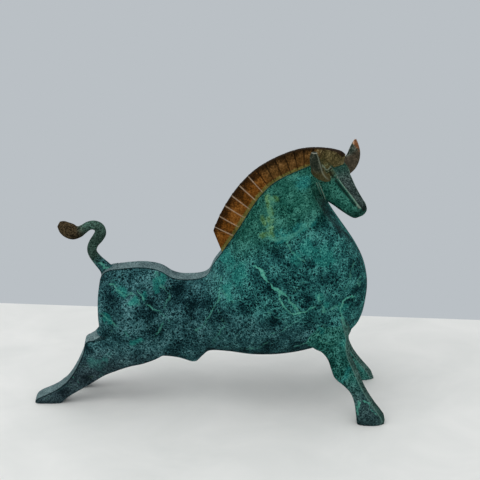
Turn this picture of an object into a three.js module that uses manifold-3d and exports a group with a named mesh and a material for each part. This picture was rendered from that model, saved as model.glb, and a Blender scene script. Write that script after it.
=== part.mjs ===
// Cast bronze bull: a hollow two-part body with solid head, horns, crest, tail and legs, pinned together.
// Millimetres, +X towards the muzzle, +Z up, the bull's right flank on the -Y side.
import * as THREE from "three";
import { mergeVertices } from "three/addons/utils/BufferGeometryUtils.js";
import Module from "manifold-3d";

const wasm = await Module();
wasm.setup();

// Driving dimensions of the casting.
const LENGTH = 337.3; // from the hind toe to the fore toe
const HEIGHT = 254.7; // from the soles to the tips of the horns
const WALL = 4.5; // thickness of the hollow body's wall
const GAP = 0.3; // seam between two castings before chasing
const BACK_STRIP = 21; // width of the flat strip along the spine
const RUMP_WIDTH = 72;
const WAIST_WIDTH = 58;
const CHEST_WIDTH = 108;
const THROAT_WIDTH = 36;
const CHEEK_WIDTH = 35;
const MUZZLE_WIDTH = 17;

// Driving dimensions of the limbs.
const HIND_STANCE = 40; // between the middles of the two hind feet
const HIND_STAGGER = 16; // the left hind leg stands this far ahead of the right
const HIND_CALF = 18; // side-to-side thickness of a hind leg
const HIP_SPREAD = RUMP_WIDTH / 2; // between the middles of the two hips
const HOCK_BEVEL = 2.2; // how far the outer rear edge of a hind leg is drawn in
const FORE_STANCE = 110; // between the middles of the two fore feet
const FORE_STAGGER = 9; // the left fore foot stands this far behind the right
const FORE_SHANK = 18; // side-to-side thickness of a fore leg below the knee
const SHOULDER_DEPTH = 26; // a shoulder's middle lies this far inside the chest's side
const SHOULDER_SPREAD = CHEST_WIDTH - 2 * SHOULDER_DEPTH;
const SOLE_LEVEL = 0;

// Driving dimensions of the head, horns, crest and tail.
const HEAD_TURN = 33; // degrees that the head looks to the right
const NECK_TURN = 18; // degrees of that turn already made at the neck joint
const EYE_LENGTH = 9.5; // down the face, beside the nose bridge
const EYE_HEIGHT = 3.8;
const EYE_RISE = 1.1; // how far an eye stands out from the cheek
const EYE_DROP = 2; // from the edge of the nose bridge down to the middle of the eye
const NOSTRIL_LENGTH = 3.2;
const NOSTRIL_HEIGHT = 2;
const NOSTRIL_DEPTH = 0.9;
const NOSTRIL_DROP = 1.4; // from the edge of the nose bridge
const HORN_THICKNESS = 9;
const HORN_REACH = 18.25; // how far a horn's tip stands out beyond the cheek
const HORN_SPREAD = CHEEK_WIDTH + 2 * HORN_REACH;
const HORN_ROOT_DEPTH = 7.5; // how deep the end of a horn's root lies in the cheek
const HORN_ROOT_SPREAD = CHEEK_WIDTH - 2 * HORN_ROOT_DEPTH;
const CREST_BASE = 17; // thickness of the crest where it sits on the neck
const CREST_EDGE = 8.5; // thickness of the crest along its outer edge
const CREST_GROOVES = 14; // between the segments of the mane
const GROOVE_WIDTH = 1.8; // across a groove between two locks
const GROOVE_DEPTH = 0.9;
const GROOVE_NICK = 0.6; // how far a groove cuts into the crest's outer edge
const CREST_SWELL = 1.2; // how much the crest's faces bulge beyond a straight taper
const TAIL_THICKNESS = 9.2; // diameter of the tail at its thinnest long stretch
const TUFT_THICKNESS = 13.5;

// Driving dimensions of the joints between castings.
const LIP_LENGTH = 9; // reach of the register lip across the waist seam
const LIP_THICKNESS = 3;
const WAIST_PIN = 3.2; // diameter
const WAIST_PIN_PLACES = [12, 104, 168, 192, 256, 348]; // degrees round the waist from the top
const DOWEL = 5; // diameter of the dowels in the legs
const DOWEL_LENGTH = 22;
const DOWEL_PLACES = [0.3, 0.7]; // across the leg's seam, from its leading edge
const NECK_TENON = 12; // diameter
const NECK_TENON_LENGTH = 15;
const NECK_PIN = 3.2;
const PEG = 4.2; // diameter of the pegs under the crest
const PEG_LENGTH = 4;
const PEG_PLACES = [0.17, 0.4, 0.62]; // along the crest
const HORN_TENON = 4.5;
const HORN_TENON_LENGTH = 7;
const TAIL_TENON = 5;
const TAIL_TENON_LENGTH = 11;
const FIT = 0.25; // clearance round each pin, dowel, peg and tenon

// How finely the surfaces are cut.
const BODY_STEPS = 2; // sections between two stations of the body
const LIMB_STEPS = 2;
const TAIL_STEPS = 2;
const BODY_SIDE = 10; // facets down one side of a body section
const LIMB_SIDE = 6;
const ROUND_SIDES = 12;
const CREST_SIDE = 4; // facets down one side of the crest
const HORN_SIDES = 10;
const BOSS_RINGS = 8;
const HORN_STEPS = 2;
const FAR = 600; // larger than the bull, for cutting half-spaces
const NUDGE = 0.05; // of a station, to find which way a line runs
const LEAST_FLAT = 0.5; // the narrowest flat edge of a section
const INSET_ON_FLATS = 0.4; // share of an inset that a flat edge loses at each end
const FULLNESS = 2.4; // how full a section swells below its creased edge a: 2 is a parabola

// The tables of stations below are drawn on a grid, in squares ahead of the origin and up from the soles.
const SQUARES_LONG = 337.3; // from the hind toe to the fore toe
const SQUARES_HIGH = 254.7; // from the soles to the tips of the horns
const ahead = (squares) => (squares * LENGTH) / SQUARES_LONG;
const up = (squares) => (squares * HEIGHT) / SQUARES_HIGH;
const TURN_PIVOT = ahead(95); // the upright axis that the head turns about

// A section of a casting runs from its edge a to its edge b, each [x, z]; half is half its width, flatA and
// flatB are half the widths of its flat edges, turn is in degrees about the head's axis and y is its middle.
const half = (width) => width / 2;
const strip = half(BACK_STRIP);
const neckStrip = 0.85 * strip;
const waistSpan = half(WAIST_WIDTH);
const chest = half(CHEST_WIDTH);
const throat = half(THROAT_WIDTH);
const bodyStations = [
  { a: [-109, 116], b: [-110, 86], half: 0.45 * half(RUMP_WIDTH), flatA: 0.5 * strip, flatB: 8 },
  { a: [-106.5, 124.5], b: [-108, 71], half: 0.7 * half(RUMP_WIDTH), flatA: 0.85 * strip, flatB: 12 },
  { a: [-99, 131], b: [-102, 59], half: 0.85 * half(RUMP_WIDTH), flatA: strip, flatB: 16 },
  { a: [-87, 133], b: [-90, 52], half: 0.95 * half(RUMP_WIDTH), flatA: strip, flatB: 18 },
  { a: [-72, 134.5], b: [-73, 48], half: half(RUMP_WIDTH), flatA: strip, flatB: 18 },
  { a: [-59, 134], b: [-58, 46.5], half: 0.98 * half(RUMP_WIDTH), flatA: strip, flatB: 14 },
  { a: [-49, 130.5], b: [-46, 45], half: 0.9 * half(RUMP_WIDTH), flatA: strip, flatB: 8 },
  { a: [-40, 123.5], b: [-33, 42], half: 1.03 * waistSpan, flatA: strip, flatB: 4 },
  { a: [-31, 120], b: [-18, 37.5], half: waistSpan, flatA: strip, flatB: 2.5 },
  { a: [-21, 120], b: [-10, 44.5], half: 1.08 * waistSpan, flatA: strip, flatB: 3.5 },
  { a: [-11, 122.5], b: [-2, 51], half: 0.66 * chest, flatA: 0.95 * strip, flatB: 5 },
  { a: [-4, 129], b: [16, 52], half: 0.78 * chest, flatA: 0.9 * strip, flatB: 7 },
  { a: [1, 139], b: [40, 50], half: 0.88 * chest, flatA: neckStrip, flatB: 8 },
  { a: [9, 150], b: [66, 51], half: 0.95 * chest, flatA: neckStrip, flatB: 8 },
  { a: [18, 163], b: [92, 56], half: 0.99 * chest, flatA: neckStrip, flatB: 8 },
  { a: [27, 177], b: [118, 65.5], half: chest, flatA: neckStrip, flatB: 7 },
  { a: [36, 192], b: [139, 82.5], half: 0.97 * chest, flatA: neckStrip, flatB: 6 },
  { a: [46, 206.5], b: [146.5, 110], half: 0.9 * chest, flatA: neckStrip, flatB: 5 },
  { a: [57, 217.5], b: [145.5, 134], half: 0.79 * chest, flatA: neckStrip, flatB: 4.5 },
  { a: [70, 225.5], b: [135.5, 157], half: 0.65 * chest, flatA: neckStrip, flatB: 4 },
  { a: [82, 230.5], b: [117.5, 178.5], half: 0.5 * chest, flatA: neckStrip, flatB: 4, turn: 0.22 * NECK_TURN },
  { a: [92, 234.5], b: [104.5, 193.5], half: 1.15 * throat, flatA: neckStrip, flatB: 4, turn: 0.6 * NECK_TURN },
  { a: [99, 238], b: [103, 204], half: throat, flatA: neckStrip, flatB: 4.5, turn: NECK_TURN },
];
const WAIST_STATION = 9; // the seam between the two halves of the body
const CAVITY_FIRST = 2; // the cavity runs between these stations
const CAVITY_LAST = 19;
const CREST_STATION = 13; // the crest starts on the neck here

const EYE_PLACE = 3.3; // the places of the eyes and nostrils on the head's stations
const NOSTRIL_PLACE = 7.7;

const neckEnd = bodyStations.at(-1);
const cheek = half(CHEEK_WIDTH);
const muzzle = half(MUZZLE_WIDTH);
const headStations = [
  neckEnd,
  { a: [107.5, 243], b: [107.5, 206], half: cheek, flatA: 10, flatB: 5, turn: 0.85 * HEAD_TURN },
  { a: [115, 241], b: [112, 204.5], half: 1.03 * cheek, flatA: 11, flatB: 5.5, turn: HEAD_TURN },
  { a: [122, 235.7], b: [117, 202], half: cheek, flatA: 11.3, flatB: 5.5, turn: HEAD_TURN },
  { a: [129, 225.8], b: [122.5, 199.3], half: 0.86 * cheek, flatA: 9.9, flatB: 5, turn: HEAD_TURN },
  { a: [135, 218], b: [128.5, 196], half: 1.45 * muzzle, flatA: 7.8, flatB: 4.6, turn: HEAD_TURN },
  { a: [141, 211.1], b: [134, 193.3], half: 1.2 * muzzle, flatA: 6.3, flatB: 4.2, turn: HEAD_TURN },
  { a: [146.5, 204.9], b: [139, 191.3], half: 1.04 * muzzle, flatA: 5.5, flatB: 4, turn: HEAD_TURN },
  { a: [149.2, 201.4], b: [143, 190.8], half: 0.94 * muzzle, flatA: 4.7, flatB: 3.8, turn: HEAD_TURN },
  { a: [150.2, 198.8], b: [146.5, 192.2], half: 0.76 * muzzle, flatA: 3.8, flatB: 3.4, turn: HEAD_TURN },
];

// The crest from its outer edge to its base in the neck: its lower end, then one station for each groove,
// square to the outer edge, and then the blunt block over the poll.
const crestStations = [
  { a: [1, 170], b: [10, 149] },
  { a: [2.5, 173.7], b: [22.2, 165.8] },
  { a: [7, 184.1], b: [27.5, 174] },
  { a: [12.4, 194.3], b: [32.8, 182.8] },
  { a: [18.6, 204.2], b: [37.8, 191] },
  { a: [25.9, 213.8], b: [43.1, 199.3] },
  { a: [34.2, 222.7], b: [49.2, 207.2] },
  { a: [41.5, 229.1], b: [54.2, 212.4] },
  { a: [49.6, 234.5], b: [59.9, 217.2] },
  { a: [58.1, 239.2], b: [67, 221.6] },
  { a: [67, 243.3], b: [74.5, 225.4] },
  { a: [76.1, 246.6], b: [81, 228], turn: 0.12 * NECK_TURN },
  { a: [85.6, 248.8], b: [87, 230.2], turn: 0.35 * NECK_TURN },
  { a: [95.3, 249.8], b: [93.4, 232.8], turn: 0.65 * NECK_TURN },
  { a: [105, 249.6], b: [99.5, 236], turn: NECK_TURN },
  { a: [114, 248.4], b: [108, 240.5], turn: 0.85 * HEAD_TURN },
  { a: [121, 246], b: [114, 238.5], turn: HEAD_TURN },
  { a: [124.3, 240.5], b: [119, 234], turn: HEAD_TURN },
];

// Hind leg from the toe to the hip; shift is how far the staggered leg's section moves, as a share.
const calf = half(HIND_CALF);
const hindStations = [
  { a: [-173.3, 3], b: [-171.5, -1.5], half: 0.75 * calf, shift: 1 },
  { a: [-171.2, 6], b: [-168, -1.5], half: calf, shift: 1 },
  { a: [-166.5, 9], b: [-160, -1.5], half: 1.08 * calf, shift: 1 },
  { a: [-159, 12.3], b: [-149, -1], half: 1.06 * calf, shift: 1 },
  { a: [-150.3, 17.2], b: [-140, 6], half: calf, shift: 1 },
  { a: [-142, 24], b: [-130, 12.5], half: 0.97 * calf, shift: 1 },
  { a: [-135.5, 32.7], b: [-121, 18], half: 0.97 * calf, shift: 1 },
  { a: [-129.3, 44], b: [-111, 24.5], half: calf, shift: 1 },
  { a: [-124.6, 55], b: [-103, 29.5], half: 1.06 * calf, shift: 1 },
  { a: [-121.5, 65.5], b: [-95, 33], half: 1.16 * calf, shift: 1 },
  { a: [-109, 69], b: [-87, 36.5], half: 1.35 * calf, shift: 0.95 },
  { a: [-97, 75], b: [-77, 40.2], half: 1.55 * calf, shift: 0.7 },
  { a: [-85, 84], b: [-66, 43], half: 1.65 * calf, shift: 0.35 },
  { a: [-73, 90], b: [-54, 47], half: 1.35 * calf, shift: 0.1 },
  { a: [-62, 88], b: [-44, 52], half: 0.9 * calf, shift: 0 },
];
const HIND_SEAM = 10.4; // the leg is sawn from the body at this station
const HIND_FLATS = { a: 0.8, b: 0.62 }; // flat rear and front faces, as shares of the leg's thickness

// Fore leg from the shoulder to the hoof; out is the share of the way from shoulder to stance.
const shank = half(FORE_SHANK);
const foreStations = [
  { a: [106, 126], b: [88, 116], half: shank, out: -0.25, shift: 0 },
  { a: [117, 110], b: [88, 97], half: 1.45 * shank, out: 0, shift: 0 },
  { a: [125, 95], b: [91, 81], half: 1.7 * shank, out: 0.1, shift: 0 },
  { a: [129.3, 80.5], b: [96, 69], half: 1.75 * shank, out: 0.22, shift: 0.05 },
  { a: [129.3, 70.5], b: [104, 65.5], half: 1.6 * shank, out: 0.35, shift: 0.15 },
  { a: [131.5, 61], b: [110, 59], half: 1.38 * shank, out: 0.47, shift: 0.3 },
  { a: [136, 52], b: [113.5, 50], half: 1.2 * shank, out: 0.58, shift: 0.45 },
  { a: [140.3, 43], b: [117, 42], half: 1.08 * shank, out: 0.68, shift: 0.7 },
  { a: [144.3, 34.5], b: [125.5, 35.3], half: 0.98 * shank, out: 0.77, shift: 0.78 },
  { a: [149, 26.5], b: [132, 28.5], half: 0.94 * shank, out: 0.85, shift: 0.78 },
  { a: [155, 18], b: [135.5, 19.5], half: 0.96 * shank, out: 0.92, shift: 0.75 },
  { a: [161, 10.5], b: [137, 10], half: 1.05 * shank, out: 0.98, shift: 0.75 },
  { a: [164, 5], b: [137.8, 4], half: 1.1 * shank, out: 1, shift: 0.65 },
  { a: [163, -2], b: [138.5, -2], half: 1.08 * shank, out: 1, shift: 0.3 },
];
const FORE_SEAM = 5; // the leg is sawn from the body at this station
const FORE_FLATS = { a: 0.42, b: 0.5 }; // flat front and rear faces, as shares of the leg's thickness

// A horn from its hidden root to its tip, before the head turns: its rear and front edges are [x, z], out
// is the share of the way from the root to the spread of the tips, and yaw turns the front edge outwards.
const hornStations = [
  { rear: [106, 229], front: [122, 222], out: 0, yaw: 0.6, thick: 1 },
  { rear: [105, 231], front: [125, 223.5], out: 0.28, yaw: 0.8, thick: 1 },
  { rear: [107.5, 234.5], front: [126, 228], out: 0.58, yaw: 1, thick: 0.95 },
  { rear: [111.4, 239.5], front: [125, 235], out: 0.82, yaw: 1.1, thick: 0.9 },
  { rear: [112.9, 246], front: [123.4, 243], out: 0.95, yaw: 1, thick: 0.85 },
  { rear: [114.6, 251], front: [121, 249.5], out: 1, yaw: 0.6, thick: 0.76 },
  { rear: [116.8, 254.7], front: [118.2, 254.6], out: 1, yaw: 0.1, thick: 0.55 },
];
const HORN_SEAT = 1; // the horn meets the side of the head about here

// The tail's middle line from the rump to the tip of the tuft, each [x, z, share of its thickness].
const tailLine = [
  [-99, 125, 1.45],
  [-105, 132, 1.25],
  [-110.8, 138.3, 1.06],
  [-115, 144.2, 0.98],
  [-116, 149.5, 1],
  [-113.8, 155.2, 1.06],
  [-110, 160.3, 1.16],
  [-107.3, 165.3, 1.2],
  [-108.5, 170.3, 1.1],
  [-113, 172.8, 0.97],
  [-118.5, 172, 0.92],
  [-123.5, 168.7, 0.98],
];
const tuftLine = [
  [-128.3, 166, 0.84],
  [-133.5, 165.7, 1.08],
  [-139, 168, 1.08],
  [-144, 171.5, 0.82],
  [-147.3, 173.3, 0.4],
];

// The value of a list of numbers at a place between its entries, on a Catmull-Rom spline.
function splineAt(values, place) {
  const last = values.length - 1;
  const i = Math.min(Math.floor(place), last - 1);
  const t = place - i;
  const p = (k) => values[THREE.MathUtils.clamp(k, 0, last)];
  const before = (p(i + 1) - p(i - 1)) / 2;
  const after = (p(i + 2) - p(i)) / 2;
  const t2 = t * t;
  const t3 = t2 * t;
  const fromHere = (2 * t3 - 3 * t2 + 1) * p(i) + (t3 - 2 * t2 + t) * before;
  return fromHere + (3 * t2 - 2 * t3) * p(i + 1) + (t3 - t2) * after;
}

// A section between stations, with every one of its values on a spline.
function stationAt(stations, place) {
  const value = (pick) => splineAt(stations.map(pick), place);
  const share = (key, fallback) => value((s) => s[key] ?? fallback);
  return {
    a: new THREE.Vector2(ahead(value((s) => s.a[0])), up(value((s) => s.a[1]))),
    b: new THREE.Vector2(ahead(value((s) => s.b[0])), up(value((s) => s.b[1]))),
    half: share("half", 0),
    flatA: share("flatA", 0),
    flatB: share("flatB", 0),
    turn: share("turn", 0),
    y: share("y", 0),
  };
}

// A point of the upright plane that the head's axis stands in, turned with the head.
function turned(x, y, z, turn) {
  return new THREE.Vector3(x - TURN_PIVOT, y, z)
    .applyAxisAngle(new THREE.Vector3(0, 0, 1), -THREE.MathUtils.degToRad(turn))
    .add(new THREE.Vector3(TURN_PIVOT, 0, 0));
}

// How far out a section swells, of 1, at a share s of the way from its creased edge a to its round edge b.
function swellAt(s) {
  const fromMiddle = Math.abs(1 - 2 * s);
  return s < 0.5 ? 1 - fromMiddle ** FULLNESS : Math.sqrt(1 - fromMiddle * fromMiddle);
}

// A point on one flank of a section, at a share s of the way from edge a to edge b. inset draws the section
// in on every side, and bevel sets the outer corner of edge a back.
function flankPoint(section, flank, s, inset = 0, bevel = 0) {
  const along = section.b.clone().sub(section.a);
  const length = along.length();
  along.normalize();
  const flatA = Math.max(section.flatA - INSET_ON_FLATS * inset, LEAST_FLAT);
  const flatB = Math.max(section.flatB - INSET_ON_FLATS * inset, LEAST_FLAT);
  const swell = section.half - inset - (flatA + flatB) / 2;
  const width = flatA * (1 - s) + flatB * s + swell * swellAt(s);
  const setback = flank === Math.sign(section.y) ? bevel * (1 - s) : 0;
  const p = section.a.clone().addScaledVector(along, inset + (length - 2 * inset) * s + setback);
  return turned(p.x, section.y + flank * width, p.y, section.turn);
}

// The closed outline of a section: flat at both edges, and swollen between them.
function outline(section, side, inset, bevel) {
  const ring = [];
  for (const flank of [-1, 1])
    for (let j = 0; j <= side; j++) {
      const step = flank < 0 ? j : side - j;
      const s = (1 - Math.cos((Math.PI * step) / side)) / 2;
      ring.push(flankPoint(section, flank, s, inset, bevel));
    }
  return ring;
}

// A closed skin over rings of points, each ring with as many points as the next.
function skin(rings) {
  const count = rings[0].length;
  const points = rings.flat();
  const faces = [];
  const at = (i, j) => i * count + (j % count);
  for (let i = 0; i + 1 < rings.length; i++)
    for (let j = 0; j < count; j++) {
      faces.push(at(i, j), at(i + 1, j), at(i + 1, j + 1));
      faces.push(at(i, j), at(i + 1, j + 1), at(i, j + 1));
    }
  for (const i of [0, rings.length - 1]) {
    const middle = rings[i].reduce((sum, p) => sum.add(p), new THREE.Vector3()).divideScalar(count);
    points.push(middle);
    for (let j = 0; j < count; j++) {
      const edge = [at(i, j), at(i, j + 1)];
      if (i) edge.reverse();
      faces.push(points.length - 1, ...edge);
    }
  }
  return new THREE.BufferGeometry().setFromPoints(points).setIndex(faces);
}

// A closed geometry as a solid for joining and cutting, always facing outwards.
function solid(geometry) {
  const bare = geometry.clone();
  bare.deleteAttribute("normal");
  bare.deleteAttribute("uv");
  const merged = mergeVertices(bare);
  const vertProperties = merged.attributes.position.array;
  const triVerts = new Uint32Array(merged.index.array);
  const make = () => new wasm.Manifold(new wasm.Mesh({ numProp: 3, vertProperties, triVerts }));
  const made = make();
  if (made.volume() >= 0) return made;
  triVerts.reverse();
  return make();
}

// The loft of a list of stations from its first to its last, or between two places on it.
function loft(stations, shape) {
  const { first = 0, last = stations.length - 1, steps = BODY_STEPS, side = BODY_SIDE } = shape;
  const count = Math.max(1, Math.round((last - first) * steps));
  const rings = Array.from({ length: count + 1 }, (_, i) =>
    outline(stationAt(stations, first + ((last - first) * i) / count), side, shape.inset, shape.bevel),
  );
  return solid(skin(rings));
}

// A straight round bar from one point to another.
function bar(from, to, diameter) {
  const along = to.clone().sub(from);
  const shape = new THREE.CylinderGeometry(diameter / 2, diameter / 2, along.length(), ROUND_SIDES);
  const lengthwise = new THREE.Vector3(0, 1, 0);
  shape.applyQuaternion(new THREE.Quaternion().setFromUnitVectors(lengthwise, along.normalize()));
  const middle = from.clone().add(to).divideScalar(2);
  return solid(shape.translate(middle.x, middle.y, middle.z));
}

// Everything on the side of a plane that its normal points to.
function beyond(point, normal) {
  const box = new THREE.BoxGeometry(FAR, FAR, FAR).translate(0, 0, FAR / 2);
  box.applyQuaternion(new THREE.Quaternion().setFromUnitVectors(new THREE.Vector3(0, 0, 1), normal));
  return solid(box.translate(point.x, point.y, point.z));
}

// The cut through a section: its middle, its directions, and its points from edge a at 0 to edge b at 1.
function seam(stations, place) {
  const section = stationAt(stations, place);
  const point = (share, from = section) => {
    const p = from.a.clone().lerp(from.b, share);
    return turned(p.x, from.y, p.y, from.turn);
  };
  const inRange = (where) => THREE.MathUtils.clamp(where, 0, stations.length - 1);
  const middleAt = (where) => point(0.5, stationAt(stations, inRange(where)));
  const across = point(1).sub(point(0)).normalize();
  const sideways = turned(TURN_PIVOT, 1, 0, section.turn).sub(turned(TURN_PIVOT, 0, 0, section.turn));
  const onwards = sideways.clone().cross(across).normalize();
  if (onwards.dot(middleAt(place + NUDGE).sub(middleAt(place - NUDGE))) < 0) onwards.negate();
  return { point, across, sideways, onwards, middle: point(0.5), section };
}

const offset = (point, direction, distance) => point.clone().addScaledVector(direction, distance);
const opposite = (direction) => direction.clone().negate();
const union = (solids) => solids.reduce((sum, s) => sum.add(s));
const largest = (solids) => solids.reduce((best, s) => (s.volume() > best.volume() ? s : best));

const bronze = (color, roughness) => new THREE.MeshStandardMaterial({ color, roughness, metalness: 0.35 });
const finishes = {
  verdigris: bronze(0x1f5f55, 0.62),
  brownCrest: bronze(0x6e3f1a, 0.48),
  darkHorn: bronze(0x4a3a2c, 0.42),
  oliveTail: bronze(0x33402f, 0.5),
  rawBronze: bronze(0xa9793f, 0.35),
};

const bull = new THREE.Group();

// Adds a finished solid to the bull as a named piece.
function piece(name, shape, finish) {
  const { vertProperties, triVerts } = shape.getMesh();
  const geometry = new THREE.BufferGeometry()
    .setAttribute("position", new THREE.BufferAttribute(new Float32Array(vertProperties), 3))
    .setIndex(new THREE.BufferAttribute(new Uint32Array(triVerts), 1));
  geometry.computeVertexNormals();
  const mesh = new THREE.Mesh(geometry, finish);
  mesh.name = name;
  bull.add(mesh);
}

const BOTH_SIDES = [
  { side: "right", sign: -1, stagger: 0 },
  { side: "left", sign: 1, stagger: 1 },
];

// The stations of one leg: moved along by its stagger, set out sideways and given its flat faces.
function legStations(stations, flats, moved, aside) {
  return stations.map((s, i) => {
    const move = moved * s.shift;
    return {
      ...s,
      a: [s.a[0] + move, s.a[1]],
      b: [s.b[0] + move, s.b[1]],
      flatA: flats.a * s.half,
      flatB: flats.b * s.half,
      y: half(aside(s, i / (stations.length - 1))),
    };
  });
}

// A hind leg, listed from the toe up to the hip.
function hindLeg({ side, sign, stagger }) {
  const aside = (s, hip) => sign * THREE.MathUtils.lerp(HIND_STANCE, HIP_SPREAD, hip);
  const stations = legStations(hindStations, HIND_FLATS, stagger * HIND_STAGGER, aside);
  const cut = seam(stations, HIND_SEAM);
  return { name: `${side}_hind_leg`, stations, cut, down: opposite(cut.onwards), bevel: HOCK_BEVEL };
}

// A fore leg, listed from the shoulder down to the hoof.
function foreLeg({ side, sign, stagger }) {
  const aside = (s) => sign * THREE.MathUtils.lerp(SHOULDER_SPREAD, FORE_STANCE, s.out);
  const stations = legStations(foreStations, FORE_FLATS, -stagger * FORE_STAGGER, aside);
  const cut = seam(stations, FORE_SEAM);
  return { name: `${side}_fore_leg`, stations, cut, down: cut.onwards, bevel: 0 };
}

// The body's outer form, its core space, and the room that the other castings leave round it.
const outer = loft(bodyStations, {});
const cavity = (extra) => loft(bodyStations, { first: CAVITY_FIRST, last: CAVITY_LAST, inset: WALL + extra });
const clearOfBody = loft(bodyStations, { inset: -GAP });
const stumps = [];
const bores = [];

// Each leg is sawn from its stump, which stays with the body, and two dowels cross the seam.
const ground = beyond(new THREE.Vector3(0, 0, SOLE_LEVEL), new THREE.Vector3(0, 0, 1));
for (const { name, stations, cut, down, bevel } of BOTH_SIDES.flatMap((s) => [hindLeg(s), foreLeg(s)])) {
  const limb = loft(stations, { steps: LIMB_STEPS, side: LIMB_SIDE, bevel });
  stumps.push(limb.intersect(beyond(offset(cut.middle, down, -GAP / 2), opposite(down))));
  const along = (share, reach) => [-reach, reach].map((way) => offset(cut.point(share), down, way));
  const holes = DOWEL_PLACES.map((share) => bar(...along(share, DOWEL_LENGTH / 2 + FIT), DOWEL + 2 * FIT));
  bores.push(...holes);
  const leg = limb.intersect(beyond(offset(cut.middle, down, GAP / 2), down)).intersect(ground);
  piece(name, leg.subtract(clearOfBody).subtract(union(holes)), finishes.verdigris);
  DOWEL_PLACES.forEach((share, i) => {
    piece(`${name}_dowel_${i + 1}`, bar(...along(share, DOWEL_LENGTH / 2), DOWEL), finishes.rawBronze);
  });
}

// The seam at the end of the neck, the head's tenon in it and the pin across both.
const neck = seam(bodyStations, bodyStations.length - 1);
const intoNeck = opposite(neck.onwards);
const clearOfHead = loft(headStations, { inset: -GAP });
const tenonBar = (length, diameter) =>
  bar(offset(neck.middle, intoNeck, length), offset(neck.middle, intoNeck, -NECK_TENON / 2), diameter);
bores.push(tenonBar(NECK_TENON_LENGTH + FIT, NECK_TENON + 2 * FIT));
const pinMiddle = offset(neck.middle, intoNeck, NECK_TENON_LENGTH / 2);
const pinEnds = [-1, 1].map((way) => offset(pinMiddle, neck.sideways, way * THROAT_WIDTH));
const neckPinBore = bar(...pinEnds, NECK_PIN + 2 * FIT);
bores.push(neckPinBore);
piece("neck_pin", bar(...pinEnds, NECK_PIN).intersect(outer), finishes.rawBronze);

// A horn's rear and front edges and its thickness at a place between its stations.
function hornEdges(sign, place) {
  const value = (pick) => splineAt(hornStations.map(pick), place);
  const aside = half(THREE.MathUtils.lerp(HORN_ROOT_SPREAD, HORN_SPREAD, value((s) => s.out)));
  const yaw = value((s) => s.yaw);
  const edge = (key, y) =>
    new THREE.Vector3(ahead(value((s) => s[key][0])), sign * y, up(value((s) => s[key][1])));
  return {
    rear: edge("rear", aside - yaw),
    front: edge("front", aside + yaw),
    thickness: value((s) => s.thick) * HORN_THICKNESS,
  };
}

function hornMiddle(sign, place) {
  const { rear, front } = hornEdges(sign, THREE.MathUtils.clamp(place, 0, hornStations.length - 1));
  return rear.add(front).divideScalar(2);
}

// A horn: a broad leaf that grows out of the side of the head and curls up to its tip.
function horn(sign) {
  const count = (hornStations.length - 1) * HORN_STEPS;
  const rings = Array.from({ length: count + 1 }, (_, i) => {
    const place = i / HORN_STEPS;
    const { rear, front, thickness } = hornEdges(sign, place);
    const middle = hornMiddle(sign, place);
    const broad = front.sub(rear).divideScalar(2);
    const along = hornMiddle(sign, place + NUDGE).sub(hornMiddle(sign, place - NUDGE));
    const thin = along.cross(broad).setLength(thickness / 2);
    return Array.from({ length: HORN_SIDES }, (_, j) => {
      const angle = (2 * Math.PI * j) / HORN_SIDES;
      const p = offset(middle, broad, Math.cos(angle)).addScaledVector(thin, Math.sin(angle));
      return turned(p.x, p.y, p.z, HEAD_TURN);
    });
  });
  return solid(skin(rings));
}

// A rounded boss on the side of the head, beside the nose bridge: it is as long down the face and as high as
// its size says, and its third size is how far it reaches out of the cheek and into it.
function boss(sign, place, drop, size) {
  const line = seam(headStations, place);
  const bridge = seam(headStations, place + NUDGE).point(0).sub(seam(headStations, place - NUDGE).point(0));
  const share = drop / line.section.a.distanceTo(line.section.b);
  const middle = flankPoint(line.section, sign, share);
  const [longways, high, outwards] = [size[0] / 2, size[1] / 2, size[2]];
  const shape = new THREE.SphereGeometry(1, ROUND_SIDES, BOSS_RINGS).scale(longways, outwards, high);
  const faceways = bridge.normalize();
  const away = line.sideways.clone().multiplyScalar(sign);
  const basis = new THREE.Matrix4().makeBasis(faceways, away, faceways.clone().cross(away));
  return solid(shape.applyMatrix4(basis).translate(middle.x, middle.y, middle.z));
}

// The head takes both horns on round tenons.
let head = loft(headStations, {}).intersect(beyond(offset(neck.middle, neck.onwards, GAP), neck.onwards));
head = head.add(tenonBar(NECK_TENON_LENGTH, NECK_TENON)).subtract(neckPinBore);
for (const { side, sign } of BOTH_SIDES) {
  const [hidden, seat] = [0, HORN_SEAT].map((p) => turned(...hornMiddle(sign, p).toArray(), HEAD_TURN));
  const inwards = hidden.sub(seat).normalize();
  const shaft = (length, diameter) =>
    bar(offset(seat, inwards, length), offset(seat, inwards, -HORN_TENON / 2), diameter);
  head = head.subtract(shaft(HORN_TENON_LENGTH + FIT, HORN_TENON + 2 * FIT));
  const eye = boss(sign, EYE_PLACE, EYE_DROP, [EYE_LENGTH, EYE_HEIGHT, EYE_RISE]);
  const nostril = boss(sign, NOSTRIL_PLACE, NOSTRIL_DROP, [NOSTRIL_LENGTH, NOSTRIL_HEIGHT, NOSTRIL_DEPTH]);
  head = head.add(eye).subtract(nostril);
  const blade = largest(horn(sign).subtract(clearOfHead).decompose());
  piece(`${side}_horn`, blade.add(shaft(HORN_TENON_LENGTH, HORN_TENON)), finishes.darkHorn);
}
piece("head", head, finishes.verdigris);

// A section of the crest, sunk by that much on both faces and nicked along its outer edge.
function crestSection(place, sunk, nick) {
  const section = stationAt(crestStations, place);
  section.a.lerp(section.b, nick / section.b.distanceTo(section.a));
  section.flatA = half(CREST_EDGE) - sunk;
  section.flatB = half(CREST_BASE) - sunk;
  section.half = half(half(CREST_BASE + CREST_EDGE) + CREST_SWELL) - sunk;
  return section;
}

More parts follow.
